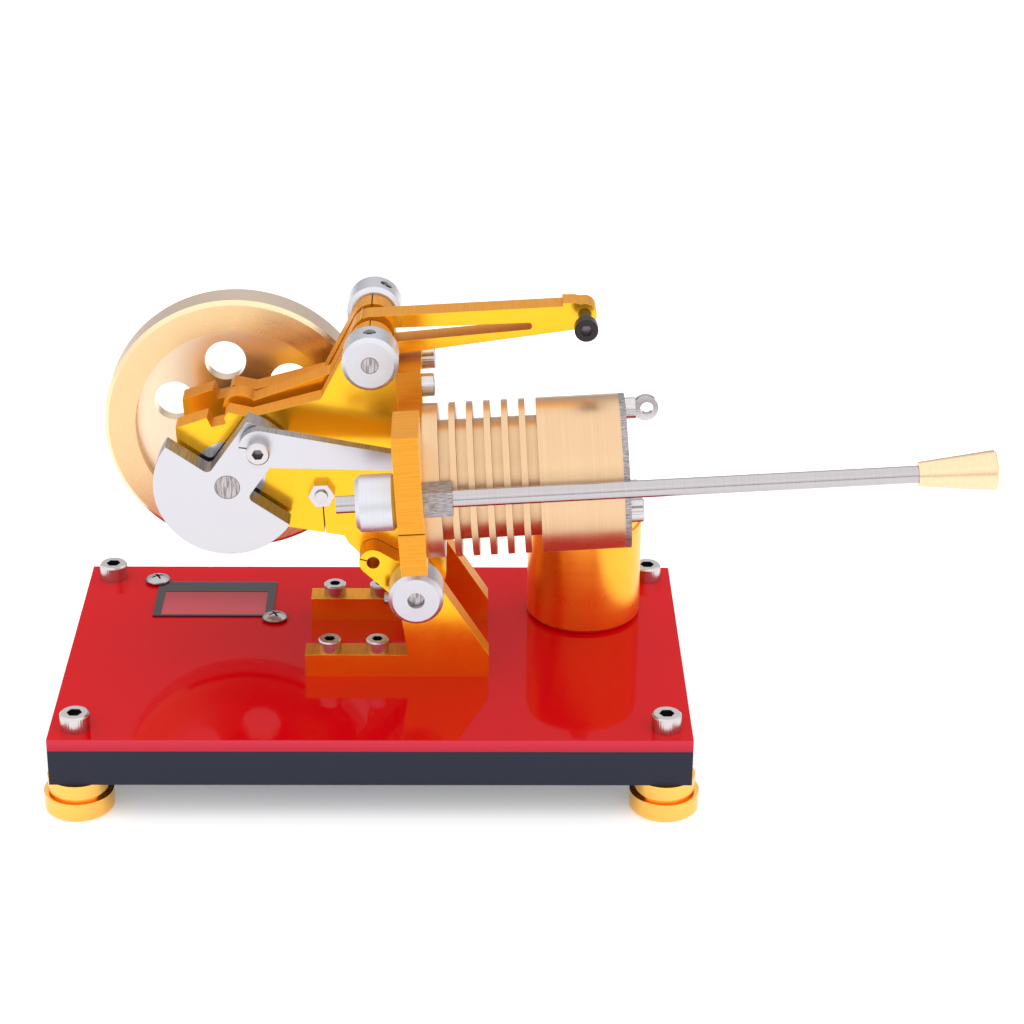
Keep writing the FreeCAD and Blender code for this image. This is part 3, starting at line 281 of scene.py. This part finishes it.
class Finish(Tree):
    """One material: a Principled shader and the patterns that feed it."""

    def __init__(self, name, base, roughness, metallic=1.0, **plain):
        self.material = bpy.data.materials.new(name)
        self.material.use_nodes = True
        super().__init__(self.material.node_tree)
        inputs = {"Base Color": base, "Roughness": roughness, "Metallic": metallic}
        self.shader = self.add("ShaderNodeBsdfPrincipled", None, inputs)
        for socket, value in plain.items():
            self.feed(self.shader.node.inputs[socket.replace("_", " ")], value)
        output = self.nodes.new("ShaderNodeOutputMaterial")
        self.feed(output.inputs["Surface"], self.shader)
        self.object_place = self.add("ShaderNodeTexCoord").output(3)

    def around(self, centre=(0, 0, 0), tilt=0.0):
        """The place in millimetres from a centre, turned back by the engine's tilt."""
        inputs = {"Vector": self.object_place, "Location": centre, "Rotation": (0, -tilt, 0)}
        inputs["Scale"] = (MM, MM, MM)
        return self.add("ShaderNodeMapping", {"vector_type": "TEXTURE"}, inputs)

    def wear(self, base=None, roughness=None):
        """Lets patterns vary the colour and the roughness."""
        for socket, value in (("Base Color", base), ("Roughness", roughness)):
            if value is not None:
                self.feed(self.shader.node.inputs[socket], value)

    def relief(self, height, depth, edge=EDGE_RADIUS):
        """Raises a pattern by depth millimetres, over edges rounded by edge to catch the light."""
        inputs = {"Strength": 1.0, "Distance": depth * MM, "Height": height}
        if edge > 0:
            inputs["Normal"] = self.add("ShaderNodeBevel", {"samples": 4}, {"Radius": edge})
        self.feed(self.shader.node.inputs["Normal"], self.add("ShaderNodeBump", None, inputs))


def dress(finish, *names):
    """Puts one finish on CAD nodes."""
    for name in names:
        slots = NODES[name].material_slots
        for slot in slots:
            slot.link = "OBJECT"
            slot.material = finish.material


print("finish helpers ready")

# %% [markdown]
# The base is two glossy plastic plates. The red one is clear red through and through, so its
# polished top looks deep and its sawn sides look milky and lighter. A mask of the distance from
# the sides splits the two. Tiny dents and dust keep the gloss from looking like a drawing.

# %% Red and black plates of the base
RED_DEEP = tone(198, 3, 15)
RED_SIDE_TOP = tone(198, 52, 68)
RED_SIDE_LOW = tone(184, 40, 56)
BLACK_PLATE = tone(44, 46, 58)


def plate_finish(name, node, deep, side_low, side_top, gloss):
    low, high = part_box(node)
    half = (high - low) / 2 / MM
    finish = Finish(name, deep, gloss, 0.0, IOR=1.44, Specular_IOR_Level=0.1)
    x, y, z = finish.split(finish.around((low + high) / 2))
    at_side = (abs(x) - half.x).higher(abs(y) - half.y).ease(-0.06, -0.02)
    # Painted light and shade: the sawn sides are painted lighter towards the top and darker towards the
    # bottom.
    fade = (z * (0.5 / half.z) + 0.5).ease(0.0, 1.0)
    side = finish.mix(fade, side_low, side_top)
    cloud = finish.noise(finish.around(), 0.03, 2.0)
    dust = finish.noise(finish.around(), 1.3, 1.0).ease(0.75, 0.79)
    top = finish.mix(dust * 0.25, deep, side_top)
    sawn = finish.noise(finish.join(x * 2.0, y * 2.0, z * 0.2), 1.0, 3.0)
    finish.wear(base=finish.mix(at_side, top, side))
    finish.wear(roughness=gloss + dust * 0.2 + cloud * 0.02 + at_side * (0.10 + sawn * 0.06))
    finish.relief(cloud, 0.02)
    return finish


dress(plate_finish("red_plate", "base_upper", RED_DEEP, RED_SIDE_LOW, RED_SIDE_TOP, 0.05), "base_upper")
dress(plate_finish("black_plate", "base_lower", BLACK_PLATE, BLACK_PLATE, BLACK_PLATE, 0.08), "base_lower")
print("base plates finished")

# %% [markdown]
# The frame is gold anodised sheet. Its rolled faces are satin and yellow; its edges were cut
# with a wire, which leaves fine lines straight through the thickness and a browner, duller gold.
# The aluminium crank web and rod are cut the same way without the dye, with greyer edges.
# One recipe serves both: the distance from the sheet's middle tells face from edge.

# %% Wire-cut sheet, gold or plain
GOLD_TONES = {"face": tone(255, 190, 42), "edge": tone(226, 157, 48), "line": tone(214, 142, 44)}
PLAIN_TONES = {"face": tone(200, 199, 204), "edge": tone(168, 168, 174), "line": tone(130, 130, 136)}
GOLD_GLOSS = 0.2
PLAIN_GLOSS = 0.3
EDGE_GLOSS = 0.42
BRACKET_METALLIC = 0.95
GOLD_METALLIC = 0.85
FLANGE_METALLIC = 0.82
PLAIN_MARKS = 0.3
CUT_DEPTH = 0.009


def middle(node):
    low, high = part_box(node)
    return (low + high) / 2


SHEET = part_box("side_plate_front")[1].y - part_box("side_plate_front")[0].y


def sheet_finish(name, node, tones, gloss, metallic, marks=1.0, faces_along=False):
    """faces_along is for the flange, whose faces look along the engine and not across it."""
    finish = Finish(name, tones["face"], gloss, metallic)
    along, across, up = finish.split(finish.around(middle(node), TILT))
    through, run = (along, across) if faces_along else (across, along)
    low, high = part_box(node)
    half = (SHEET if faces_along else high.y - low.y) / 2 / MM
    on_face = abs(through).ease(half - 0.06, half - 0.03)
    cut = finish.noise(finish.join(run * 6.5, up * 6.5, through * 0.1), 1.0, 1.0, 0.5)
    rolled = finish.noise(finish.join(run * 0.25, up * 5.0, through), 1.0, 3.0, 0.6)
    smudge = finish.noise(finish.around(), 0.16, 3.0, 0.6)
    edge_tone = finish.mix(cut.ease(0.3, 0.62), tones["line"], tones["edge"])
    finish.wear(base=finish.mix(on_face, edge_tone, tones["face"]))
    face_gloss = gloss + ((rolled - 0.5) * 0.08 + (smudge - 0.5) * 0.12) * marks
    edge_gloss = EDGE_GLOSS + cut * 0.12
    finish.wear(roughness=edge_gloss + (face_gloss - edge_gloss) * on_face)
    finish.relief(cut * (1 - on_face) + rolled * on_face * (0.06 * marks), CUT_DEPTH)
    return finish


GOLD_SHEETS = ("side_plate_front", "side_plate_back", "bracket_front", "bracket_back", "valve_lever", "cam")
for node in GOLD_SHEETS:
    metallic = BRACKET_METALLIC if node.startswith("bracket") else GOLD_METALLIC
    dress(sheet_finish(node + "_gold", node, GOLD_TONES, GOLD_GLOSS, metallic), node)
dress(
    sheet_finish(
        "flange_gold", "flange_plate", GOLD_TONES, GOLD_GLOSS, FLANGE_METALLIC, faces_along=True
    ),
    "flange_plate",
)
for node in ("crank_web", "con_rod"):
    dress(sheet_finish(node + "_plain", node, PLAIN_TONES, PLAIN_GLOSS, 1.0, PLAIN_MARKS), node)
print("sheet thickness in mm:", round(SHEET / MM, 2))

# %% [markdown]
# Everything round on the engine was turned on a lathe. The tool leaves fine rings: round a bar
# they run across its length, and on an end face they are circles. A noise that reads only the
# place along the axis and the reach from it draws both, so one recipe finishes every turned piece.

# %% Turned metal
AXES = {"x": (0, 1, 2), "y": (1, 0, 2), "z": (2, 0, 1)}


class Turned(Finish):
    """A lathe-turned finish about a node's middle, along x, y or z."""

    def __init__(self, name, centre, axis, base, gloss, tilt=0.0, grain=3.4, depth=0.004, dim=0.93):
        super().__init__(name, base, gloss)
        parts = self.split(self.around(centre, tilt))
        order = AXES[axis]
        self.along = parts[order[0]]
        self.left = parts[order[1]]
        self.top = parts[order[2]]
        self.reach = (self.left * self.left + self.top * self.top) ** 0.5
        rings = self.join(self.along * grain, self.reach * grain, 0.0)
        self.lines = self.noise(rings, 1.0, 3.0, 0.6)
        self.smudge = self.noise(self.around(), 0.2, 3.0, 0.6)
        darker = (base[0] * dim, base[1] * dim, base[2] * dim, 1.0)
        self.base = self.mix(self.lines.ease(0.3, 0.65), darker, base)
        self.gloss = gloss + (self.lines - 0.5) * 0.12 + (self.smudge - 0.5) * 0.10
        self.depth = depth

    def done(self, height=None, edge=EDGE_RADIUS):
        self.wear(base=self.base, roughness=self.gloss)
        if self.depth > 0:
            self.relief(self.lines if height is None else height, self.depth, edge)
        return self


BRIGHT_GOLD = tone(255, 196, 98)
STEEL = tone(204, 199, 200)
SHAFT_STEEL = tone(160, 153, 154)
BRIGHT_ALUMINIUM = tone(208, 208, 215)
CUT_GREY = tone(150, 142, 144)
IRON = tone(120, 120, 124)

for number in range(1, 5):
    node = "foot_%d" % number
    dress(Turned(node + "_gold", middle(node), "z", BRIGHT_GOLD, 0.2, depth=0.003).done(), node)
LAMP_GOLD = tone(255, 180, 60)
lamp_gold = Turned("lamp_gold", middle("lamp_cup"), "z", LAMP_GOLD, 0.3, grain=1.0, depth=0, dim=0.98)
dress(lamp_gold.done(), "lamp_cup", "lamp_lid")
print("feet and lamp finished")

# %% [markdown]
# Collars are polished aluminium, shafts are ground steel rods, and the handle ends in a brass
# cone. The grey block on the handle was sawn, so it gets straight lines instead of rings.

# %% Collars, shafts, handle and bearings
ENGINE_Y = {
    "lever_collar_front": (BRIGHT_ALUMINIUM, 0.42),
    "lever_collar_back": (BRIGHT_ALUMINIUM, 0.42),
    "hinge_collar_front": (BRIGHT_ALUMINIUM, 0.42),
    "hinge_collar_back": (BRIGHT_ALUMINIUM, 0.42),
    "bearing_outer_front": (STEEL, 0.16),
    "bearing_outer_back": (STEEL, 0.16),
    "bearing_inner_front": (STEEL, 0.14),
    "bearing_inner_back": (STEEL, 0.14),
    "tie_spacer": (STEEL, 0.25),
    "tie_nut": (STEEL, 0.18),
    "gudgeon_pin": (SHAFT_STEEL, 0.2),
}
ENGINE_X = {
    "handle_rod": (tone(184, 179, 181), 0.18),
    "handle_collar": (BRIGHT_ALUMINIUM, 0.42),
    "handle_grip": (tone(236, 208, 170), 0.3),
    "eye_screw": (STEEL, 0.2),
    "piston": (IRON, 0.25),
}
for axis, table in (("y", ENGINE_Y), ("x", ENGINE_X)):
    for node, (base, gloss) in table.items():
        dress(Turned(node + "_turned", middle(node), axis, base, gloss, TILT).done(), node)


SHAFT_END_DARK = tone(116, 108, 108)
SHAFT_END_LIGHT = tone(184, 178, 178)


def shaft_finish(node, reach):
    """A ground shaft whose end faces were dressed by hand, with straight strokes."""
    finish = Turned(node + "_ground", middle(node), "y", SHAFT_STEEL, 0.22)
    low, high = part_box(node)
    half = (high.y - low.y) / 2 / MM
    at_end = abs(finish.along).ease(half - 0.06, half - 0.03)
    strokes = finish.noise(finish.join(finish.left * 2.2, finish.top * 0.25, 0.0), 1.0, 3.0, 0.6)
    end_tone = finish.mix(strokes.ease(0.35, 0.62), SHAFT_END_DARK, SHAFT_END_LIGHT)
    rim = finish.reach.ease(reach - 0.35, reach - 0.1)
    end_tone = finish.mix(rim * 0.6, end_tone, SHAFT_END_DARK)
    finish.base = finish.mix(at_end, finish.base, end_tone)
    return finish.done()


for node in ("lever_shaft", "hinge_shaft", "crankshaft"):
    low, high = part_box(node)
    dress(shaft_finish(node, (high.x - low.x) / 2 / MM), node)


def sawn_finish(name, node):
    finish = Finish(name, CUT_GREY, 0.42)
    along, across, up = finish.split(finish.around(middle(node), TILT))
    saw = finish.noise(finish.join(along * 0.5, across * 3.0, up * 5.0), 1.0, 3.0, 0.7)
    finish.wear(base=finish.mix(saw.ease(0.3, 0.7), tone(112, 104, 106), tone(190, 184, 186)))
    finish.wear(roughness=0.34 + saw * 0.2)
    finish.relief(saw, 0.05)
    return finish


dress(sawn_finish("block_sawn", "handle_block"), "handle_block")
dress(sawn_finish("end_plate_sawn", "end_plate"), "end_plate")
print("turned pieces:", len(ENGINE_X) + len(ENGINE_Y))

# %% [markdown]
# Cap screws are stainless steel. Their heads carry a fine straight knurl, a wave that runs round
# the head by its angle, and it stops short of the top so that the chamfer stays smooth. Sockets
# that look up or to the front are painted darker inside, as painted shade in the recess.

# %% Stainless cap screws
KNURL_COUNT = 34
KNURL_DEPTH = 0.035
SOCKET_SHADE = tone(110, 104, 106)


def screw_finish(node, axis, head_radius, base=STEEL, gloss=0.24, tilt=0.0, knurl=KNURL_DEPTH):
    finish = Turned(node + "_steel", middle(node), axis, base, gloss, tilt, depth=0.006)
    round_head = finish.left.angle(finish.top)
    wave = (round_head * float(KNURL_COUNT)).sine()
    if axis != "x":
        low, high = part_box(node)
        outward = 1.0 if axis == "z" else -1.0
        half = (high - low)["xyz".index(axis)] / 2 / MM
        below_top = 1 - (finish.along * outward).ease(half - 0.5, half - 0.15)
        in_socket = 1 - finish.reach.ease(head_radius * 0.5, head_radius * 0.56)
        # Painted shade: the inside of the socket is painted darker.
        finish.base = finish.mix(below_top * in_socket, finish.base, SOCKET_SHADE)
    at_wall = finish.reach.ease(head_radius - 0.08, head_radius - 0.02)
    finish.depth = knurl
    return finish.done(wave * at_wall * 0.5 + finish.lines * 0.05)


LARGE_HEAD = 3.5
SMALL_HEAD = 2.745
for number in range(1, 5):
    for node, head in (("corner_screw_%d" % number, LARGE_HEAD), ("bracket_screw_%d" % number, SMALL_HEAD)):
        dress(screw_finish(node, "z", head), node)
for node in ("end_screw_1", "end_screw_2", "flange_screw_front", "flange_screw_back"):
    dress(screw_finish(node, "x", SMALL_HEAD, tilt=TILT), node)
for node in ("tie_bolt", "crank_pin_screw"):
    dress(screw_finish(node, "y", SMALL_HEAD, knurl=0.03), node)
BLACK_OXIDE = tone(58, 54, 54)
dress(screw_finish("lever_screw", "y", SMALL_HEAD, BLACK_OXIDE, 0.34), "lever_screw")
print("screws finished")

# %% [markdown]
# The cylinder and the flywheel are brass, pale and satin. The flywheel has a pale chamfer, a satin
# rim, a paler web and a greyer outside, told apart by the reach from its axis.

# %% Brass cylinder and flywheel
CYLINDER_BRASS = tone(218, 184, 146)
WHEEL_BRASS = tone(228, 194, 146)
WHEEL_WEB = tone(238, 214, 184)
WHEEL_PALE = tone(238, 212, 172)
WHEEL_SIDE = tone(204, 186, 170)
RIM_REACH = 25.2
WHEEL_REACH = 32.8


def cylinder_finish():
    finish = Turned(
        "cylinder_brass", middle("cylinder"), "x", CYLINDER_BRASS, 0.34, TILT, grain=3.6, dim=0.92
    )
    streak = finish.noise(finish.join(finish.along * 0.9, finish.top * 0.02, 0.0), 1.0, 2.0, 0.6)
    finish.gloss = finish.gloss + (streak - 0.5) * 0.12
    return finish.done()


def wheel_finish():
    finish = Turned(
        "wheel_brass", middle("flywheel"), "y", WHEEL_BRASS, 0.28, grain=0.9, depth=0.001, dim=0.97
    )
    chamfer = finish.reach.ease(WHEEL_REACH - 1.15, WHEEL_REACH - 0.95)
    side = finish.reach.ease(WHEEL_REACH - 0.06, WHEEL_REACH - 0.03)
    web = 1 - finish.reach.ease(RIM_REACH - 0.3, RIM_REACH)
    turned = finish.mix(web, finish.base, WHEEL_WEB)
    turned = finish.mix(chamfer, turned, WHEEL_PALE)
    finish.base = finish.mix(side, turned, WHEEL_SIDE)
    finish.gloss = finish.gloss + web * 0.03 + side * 0.26
    return finish.done(finish.lines * (1 - chamfer * 0.6) * (1 + web * 0.5), 0)


dress(cylinder_finish(), "cylinder")
dress(wheel_finish(), "flywheel")
print("brass finished")

# %% [markdown]
# The name plate is a dark glossy frame around a red field, let into the plate's corner. The real
# one is printed. Here the field stays bare: a plain red gloss with a soft painted sheen towards the front.

# %% Name plate without a name
FRAME_DARK = tone(38, 30, 36)
FIELD_FAR = tone(160, 24, 42)
FIELD_NEAR = tone(190, 50, 64)


def name_finishes():
    frame_gloss = Finish("name_frame", FRAME_DARK, 0.1, 0.0, IOR=1.5)
    along, across, up = frame_gloss.split(frame_gloss.around(middle("name_border")))
    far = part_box("name_border")[1].y / MM - middle("name_border").y / MM
    # Painted highlight: a thin lighter line along the frame's far edge.
    line = across.ease(far - 0.3, far - 0.2)
    frame_gloss.wear(base=frame_gloss.mix(line, FRAME_DARK, tone(84, 80, 88)))
    frame_gloss.relief(frame_gloss.noise(frame_gloss.around(), 0.4), 0.01)
    field = Finish("name_field", FIELD_NEAR, 0.08, 0.0, IOR=1.5)
    along, across, up = field.split(field.around(middle("name_panel")))
    cloud = field.noise(field.around(), 0.12, 2.0)
    # Painted sheen: the field is painted lighter towards the front.
    shade = (across + (cloud - 0.5) * 4.0).ease(-5.0, 6.0)
    field.wear(base=field.mix(shade, FIELD_NEAR, FIELD_FAR), roughness=0.07 + cloud * 0.04)
    field.relief(cloud, 0.01)
    dress(frame_gloss, "name_border")
    dress(field, "name_panel")


name_finishes()
print("name plate finished")

# %% [markdown]
# Operators act on all that is selected, and loading leaves the CAD nodes selected. So each
# modelling step begins by deselecting everything. Faces are then chosen in code by their place.

# %% Modelling helpers


def clear_selection():
    if bpy.context.object and bpy.context.object.mode != "OBJECT":
        bpy.ops.object.mode_set(mode="OBJECT")
    bpy.ops.object.select_all(action="DESELECT")


def activate(piece):
    clear_selection()
    piece.select_set(True)
    bpy.context.view_layer.objects.active = piece


def select_faces(piece, wanted):
    """Selects the faces whose middle and normal pass a test, and stays in edit mode."""
    activate(piece)
    bpy.ops.object.mode_set(mode="EDIT")
    bpy.ops.mesh.select_mode(type="FACE")
    bpy.ops.mesh.select_all(action="DESELECT")
    bpy.ops.object.mode_set(mode="OBJECT")
    for face in piece.data.polygons:
        face.select = wanted(face.center, face.normal)
    bpy.ops.object.mode_set(mode="EDIT")


def apply_modifier(piece, kind, **settings):
    activate(piece)
    modifier = piece.modifiers.new(kind.lower(), kind)
    for name, setting in settings.items():
        setattr(modifier, name, setting)
    bpy.ops.object.modifier_apply(modifier=modifier.name)


def cut_away(piece, cutter):
    apply_modifier(piece, "BOOLEAN", operation="DIFFERENCE", solver="EXACT", object=cutter)
    bpy.data.objects.remove(cutter)


def settle(piece, name, body, finish, place=None):
    """Puts a finished piece in its place, with the place in its mesh, and lets it ride."""
    if place is not None:
        piece.data.transform(place)
    activate(piece)
    bpy.ops.object.transform_apply(location=True, rotation=True, scale=True)
    bpy.ops.object.shade_smooth_by_angle(angle=math.radians(35))
    piece.name = name
    piece.data.name = name
    piece.data.materials.clear()
    piece.data.materials.append(finish.material)
    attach(piece, body)
    print(name, "faces:", len(piece.data.polygons))
    return piece


def copy_of(piece):
    twin = piece.copy()
    twin.data = piece.data.copy()
    bpy.context.scene.collection.objects.link(twin)
    return twin


# %% [markdown]
# Each collar is held by a small grub screw with a hexagon socket. It is modelled once, upright at
# the origin: a cylinder with a bevelled rim and a socket cut by a six-sided prism. The copies are
# then set at the holes, whose direction is read from the vertices at each collar's middle.

# %% Grub screws in the collars
GRUB_RADIUS = 1.42 * MM
GRUB_LENGTH = 3.3 * MM
GRUB_SUNK = 0.55 * MM
SOCKET_RADIUS = 0.86 * MM
SOCKET_DEPTH = 1.3 * MM
COLLAR_REACH = 6.5 * MM


def model_grub_screw():
    clear_selection()
    bpy.ops.mesh.primitive_cylinder_add(
        vertices=48, radius=GRUB_RADIUS, depth=GRUB_LENGTH, location=(0, 0, -GRUB_LENGTH / 2)
    )
    grub = bpy.context.object
    select_faces(grub, lambda place, normal: abs(normal.z) > 0.9)
    bpy.ops.mesh.bevel(offset=0.22 * MM, segments=2)
    bpy.ops.object.mode_set(mode="OBJECT")
    clear_selection()
    bpy.ops.mesh.primitive_cylinder_add(vertices=6, radius=SOCKET_RADIUS, depth=SOCKET_DEPTH * 2)
    cut_away(grub, bpy.context.object)
    return grub


def hole_direction(node):
    """Which way a collar's grub screw hole looks, from the rim of that hole."""
    centre = middle(node)
    low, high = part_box(node)
    axis = min(range(3), key=lambda i: abs((high - low)[i] - 2 * COLLAR_REACH) < 0.1 * MM)
    rim = []
    for vertex in NODES[node].data.vertices:
        shift = vertex.co - centre
        along = shift[axis]
        shift[axis] = 0.0
        if abs(along) < 1.6 * MM and shift.length > COLLAR_REACH * 0.9:
            rim.append(shift)
    return sum(rim, Vector()).normalized()


grub_steel = Finish("grub_steel", tone(150, 146, 148), 0.25)
grub_steel.relief(grub_steel.noise(grub_steel.around(), 2.0), 0.01)
grub_pattern = model_grub_screw()
COLLARS = {
    "hinge_collar_front": "base",
    "hinge_collar_back": "base",
    "handle_collar": "engine",
    "lever_collar_front": "lever",
    "lever_collar_back": "lever",
}
for node, body in COLLARS.items():
    way = hole_direction(node)
    place = Matrix.Translation(middle(node) + way * (COLLAR_REACH - GRUB_SUNK))
    turn = way.to_track_quat("Z", "Y").to_matrix().to_4x4()
    settle(copy_of(grub_pattern), "grub_" + node, body, grub_steel, place @ turn)
bpy.data.objects.remove(grub_pattern)

# %% [markdown]
# The name plate's screws have low domed heads with a cross recess. A sphere is bisected to a cap,
# its flat is extruded down into a rim and a shank, and two tapered blades cut the cross. They
# stand for the CAD's plain domes.

# %% Cross-head screws of the name plate
DOME_RADIUS = 3.1 * MM
DOME_RIM = 0.39 * MM
DOME_RISE = 0.91 * MM
SHANK_RADIUS = 1.5 * MM
CROSS_REACH = 1.75 * MM
CROSS_WIDTH = 0.62 * MM
CROSS_DEPTH = 0.95 * MM
CROSS_TURN = 28
CHROME = tone(176, 170, 172)


def model_cross_screw(shank_length):
    ball = (DOME_RADIUS**2 + DOME_RISE**2) / (2 * DOME_RISE)
    clear_selection()
    bpy.ops.mesh.primitive_uv_sphere_add(
        segments=64, ring_count=96, radius=ball, location=(0, 0, DOME_RISE + DOME_RIM - ball)
    )
    screw = bpy.context.object
    activate(screw)
    bpy.ops.object.transform_apply(location=True)
    bpy.ops.object.mode_set(mode="EDIT")
    bpy.ops.mesh.select_all(action="SELECT")
    bpy.ops.mesh.bisect(plane_co=(0, 0, DOME_RIM), plane_no=(0, 0, 1), use_fill=True, clear_inner=True)
    select_faces(screw, lambda place, normal: normal.z < -0.9)
    bpy.ops.mesh.extrude_region_move(TRANSFORM_OT_translate={"value": (0, 0, -DOME_RIM)})
    bpy.ops.mesh.inset(thickness=DOME_RADIUS - SHANK_RADIUS)
    bpy.ops.mesh.extrude_region_move(TRANSFORM_OT_translate={"value": (0, 0, -shank_length)})
    bpy.ops.object.mode_set(mode="OBJECT")
    top = DOME_RIM + DOME_RISE
    for angle in (0, 90):
        clear_selection()
        bpy.ops.mesh.primitive_cube_add(size=1, location=(0, 0, top))
        blade = bpy.context.object
        blade.scale = (CROSS_REACH * 2, CROSS_WIDTH, CROSS_DEPTH * 2)
        blade.rotation_euler = (0, 0, math.radians(angle + CROSS_TURN))
        activate(blade)
        bpy.ops.object.transform_apply(location=True, rotation=True, scale=True)
        select_faces(blade, lambda place, normal: normal.z < -0.9)
        bpy.ops.transform.resize(value=(0.45, 0.45, 1), center_override=(0, 0, top - CROSS_DEPTH))
        bpy.ops.object.mode_set(mode="OBJECT")
        cut_away(screw, blade)
    return screw


def chrome_finish(node):
    """Dull chrome with painted shade, darker down in the cross."""
    finish = Finish(node + "_chrome", CHROME, 0.3)
    x, y, z = finish.split(finish.around(middle(node)))
    turn = math.radians(CROSS_TURN)
    first = x * math.cos(turn) + y * math.sin(turn)
    second = y * math.cos(turn) - x * math.sin(turn)
    in_blade = 1 - abs(first).lower(abs(second)).ease(0.24, 0.34)
    in_reach = 1 - (x * x + y * y).ease(2.4, 3.0)
    # Painted shade: the cross recess is painted darker.
    finish.wear(base=finish.mix(in_blade * in_reach, CHROME, tone(70, 64, 64)))
    finish.relief(finish.noise(finish.around(), 0.9), 0.012)
    return finish


for number in (1, 2):
    node = "name_screw_%d" % number
    chrome = chrome_finish(node)
    low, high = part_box(node)
    under_head = high.z - DOME_RIM - DOME_RISE
    screw = model_cross_screw(under_head - low.z)
    place = Matrix.Translation((middle(node).x, middle(node).y, under_head))
    settle(screw, "cross_screw_%d" % number, "base", chrome, place)
    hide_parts(node)

# %% [markdown]
# The lamp's wick is a bundle of cotton cords. Seven thin cylinders are cut into rings, joined,
# and twisted by a modifier. The top is then frayed a little with seeded shifts, and its finish
# turns from cream to scorched brown in the last millimetre.

# %% Cotton wick
WICK_TURNS = 3.0
WICK_RINGS = 60
FRAY = 0.16 * MM


def model_wick(radius, height):
    strand = radius / 3
    spots = [(0.0, 0.0)]
    for step in range(6):
        angle = math.radians(60 * step)
        spots.append((2 * strand * math.cos(angle), 2 * strand * math.sin(angle)))
    cords = []
    for x, y in spots:
        clear_selection()
        bpy.ops.mesh.primitive_cylinder_add(
            vertices=14, radius=strand, depth=height, location=(x, y, height / 2)
        )
        cord = bpy.context.object
        activate(cord)
        bpy.ops.object.transform_apply(location=True)
        bpy.ops.object.mode_set(mode="EDIT")
        for ring in range(1, WICK_RINGS):
            bpy.ops.mesh.select_all(action="SELECT")
            bpy.ops.mesh.bisect(plane_co=(0, 0, height * ring / WICK_RINGS), plane_no=(0, 0, 1))
        bpy.ops.object.mode_set(mode="OBJECT")
        cords.append(cord)
    clear_selection()
    for cord in cords:
        cord.select_set(True)
    bpy.context.view_layer.objects.active = cords[0]
    bpy.ops.object.join()
    wick = bpy.context.object
    apply_modifier(
        wick, "SIMPLE_DEFORM", deform_method="TWIST", deform_axis="Z", angle=WICK_TURNS * math.tau
    )
    dice = random.Random(7)
    for vertex in wick.data.vertices:
        if vertex.co.z > height * 0.97:
            vertex.co.z += dice.uniform(-2 * FRAY, 0)
            vertex.co.x += dice.uniform(-FRAY, FRAY) * 0.5
            vertex.co.y += dice.uniform(-FRAY, FRAY) * 0.5
    return wick


def wick_finish(top):
    finish = Finish("wick_cotton", tone(232, 222, 196), 0.9, 0.0)
    x, y, z = finish.split(finish.around((0, 0, top)))
    fibre = finish.noise(finish.around(), 6.0, 3.0, 0.7)
    scorched = (z + fibre * 0.8).ease(-1.2, 0.3)
    cotton = finish.mix(fibre.ease(0.3, 0.7), tone(206, 192, 158), tone(238, 230, 208))
    finish.wear(base=finish.mix(scorched, cotton, tone(46, 32, 24)))
    finish.relief(fibre, 0.05)
    return finish


wick_low, wick_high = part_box("wick")
wick_radius = (wick_high.x - wick_low.x) / 2
wick = model_wick(wick_radius, wick_high.z - wick_low.z)
wick_place = Matrix.Translation((middle("wick").x, middle("wick").y, wick_low.z))
settle(wick, "wick_cords", "base", wick_finish(wick_high.z), wick_place)
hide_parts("wick")
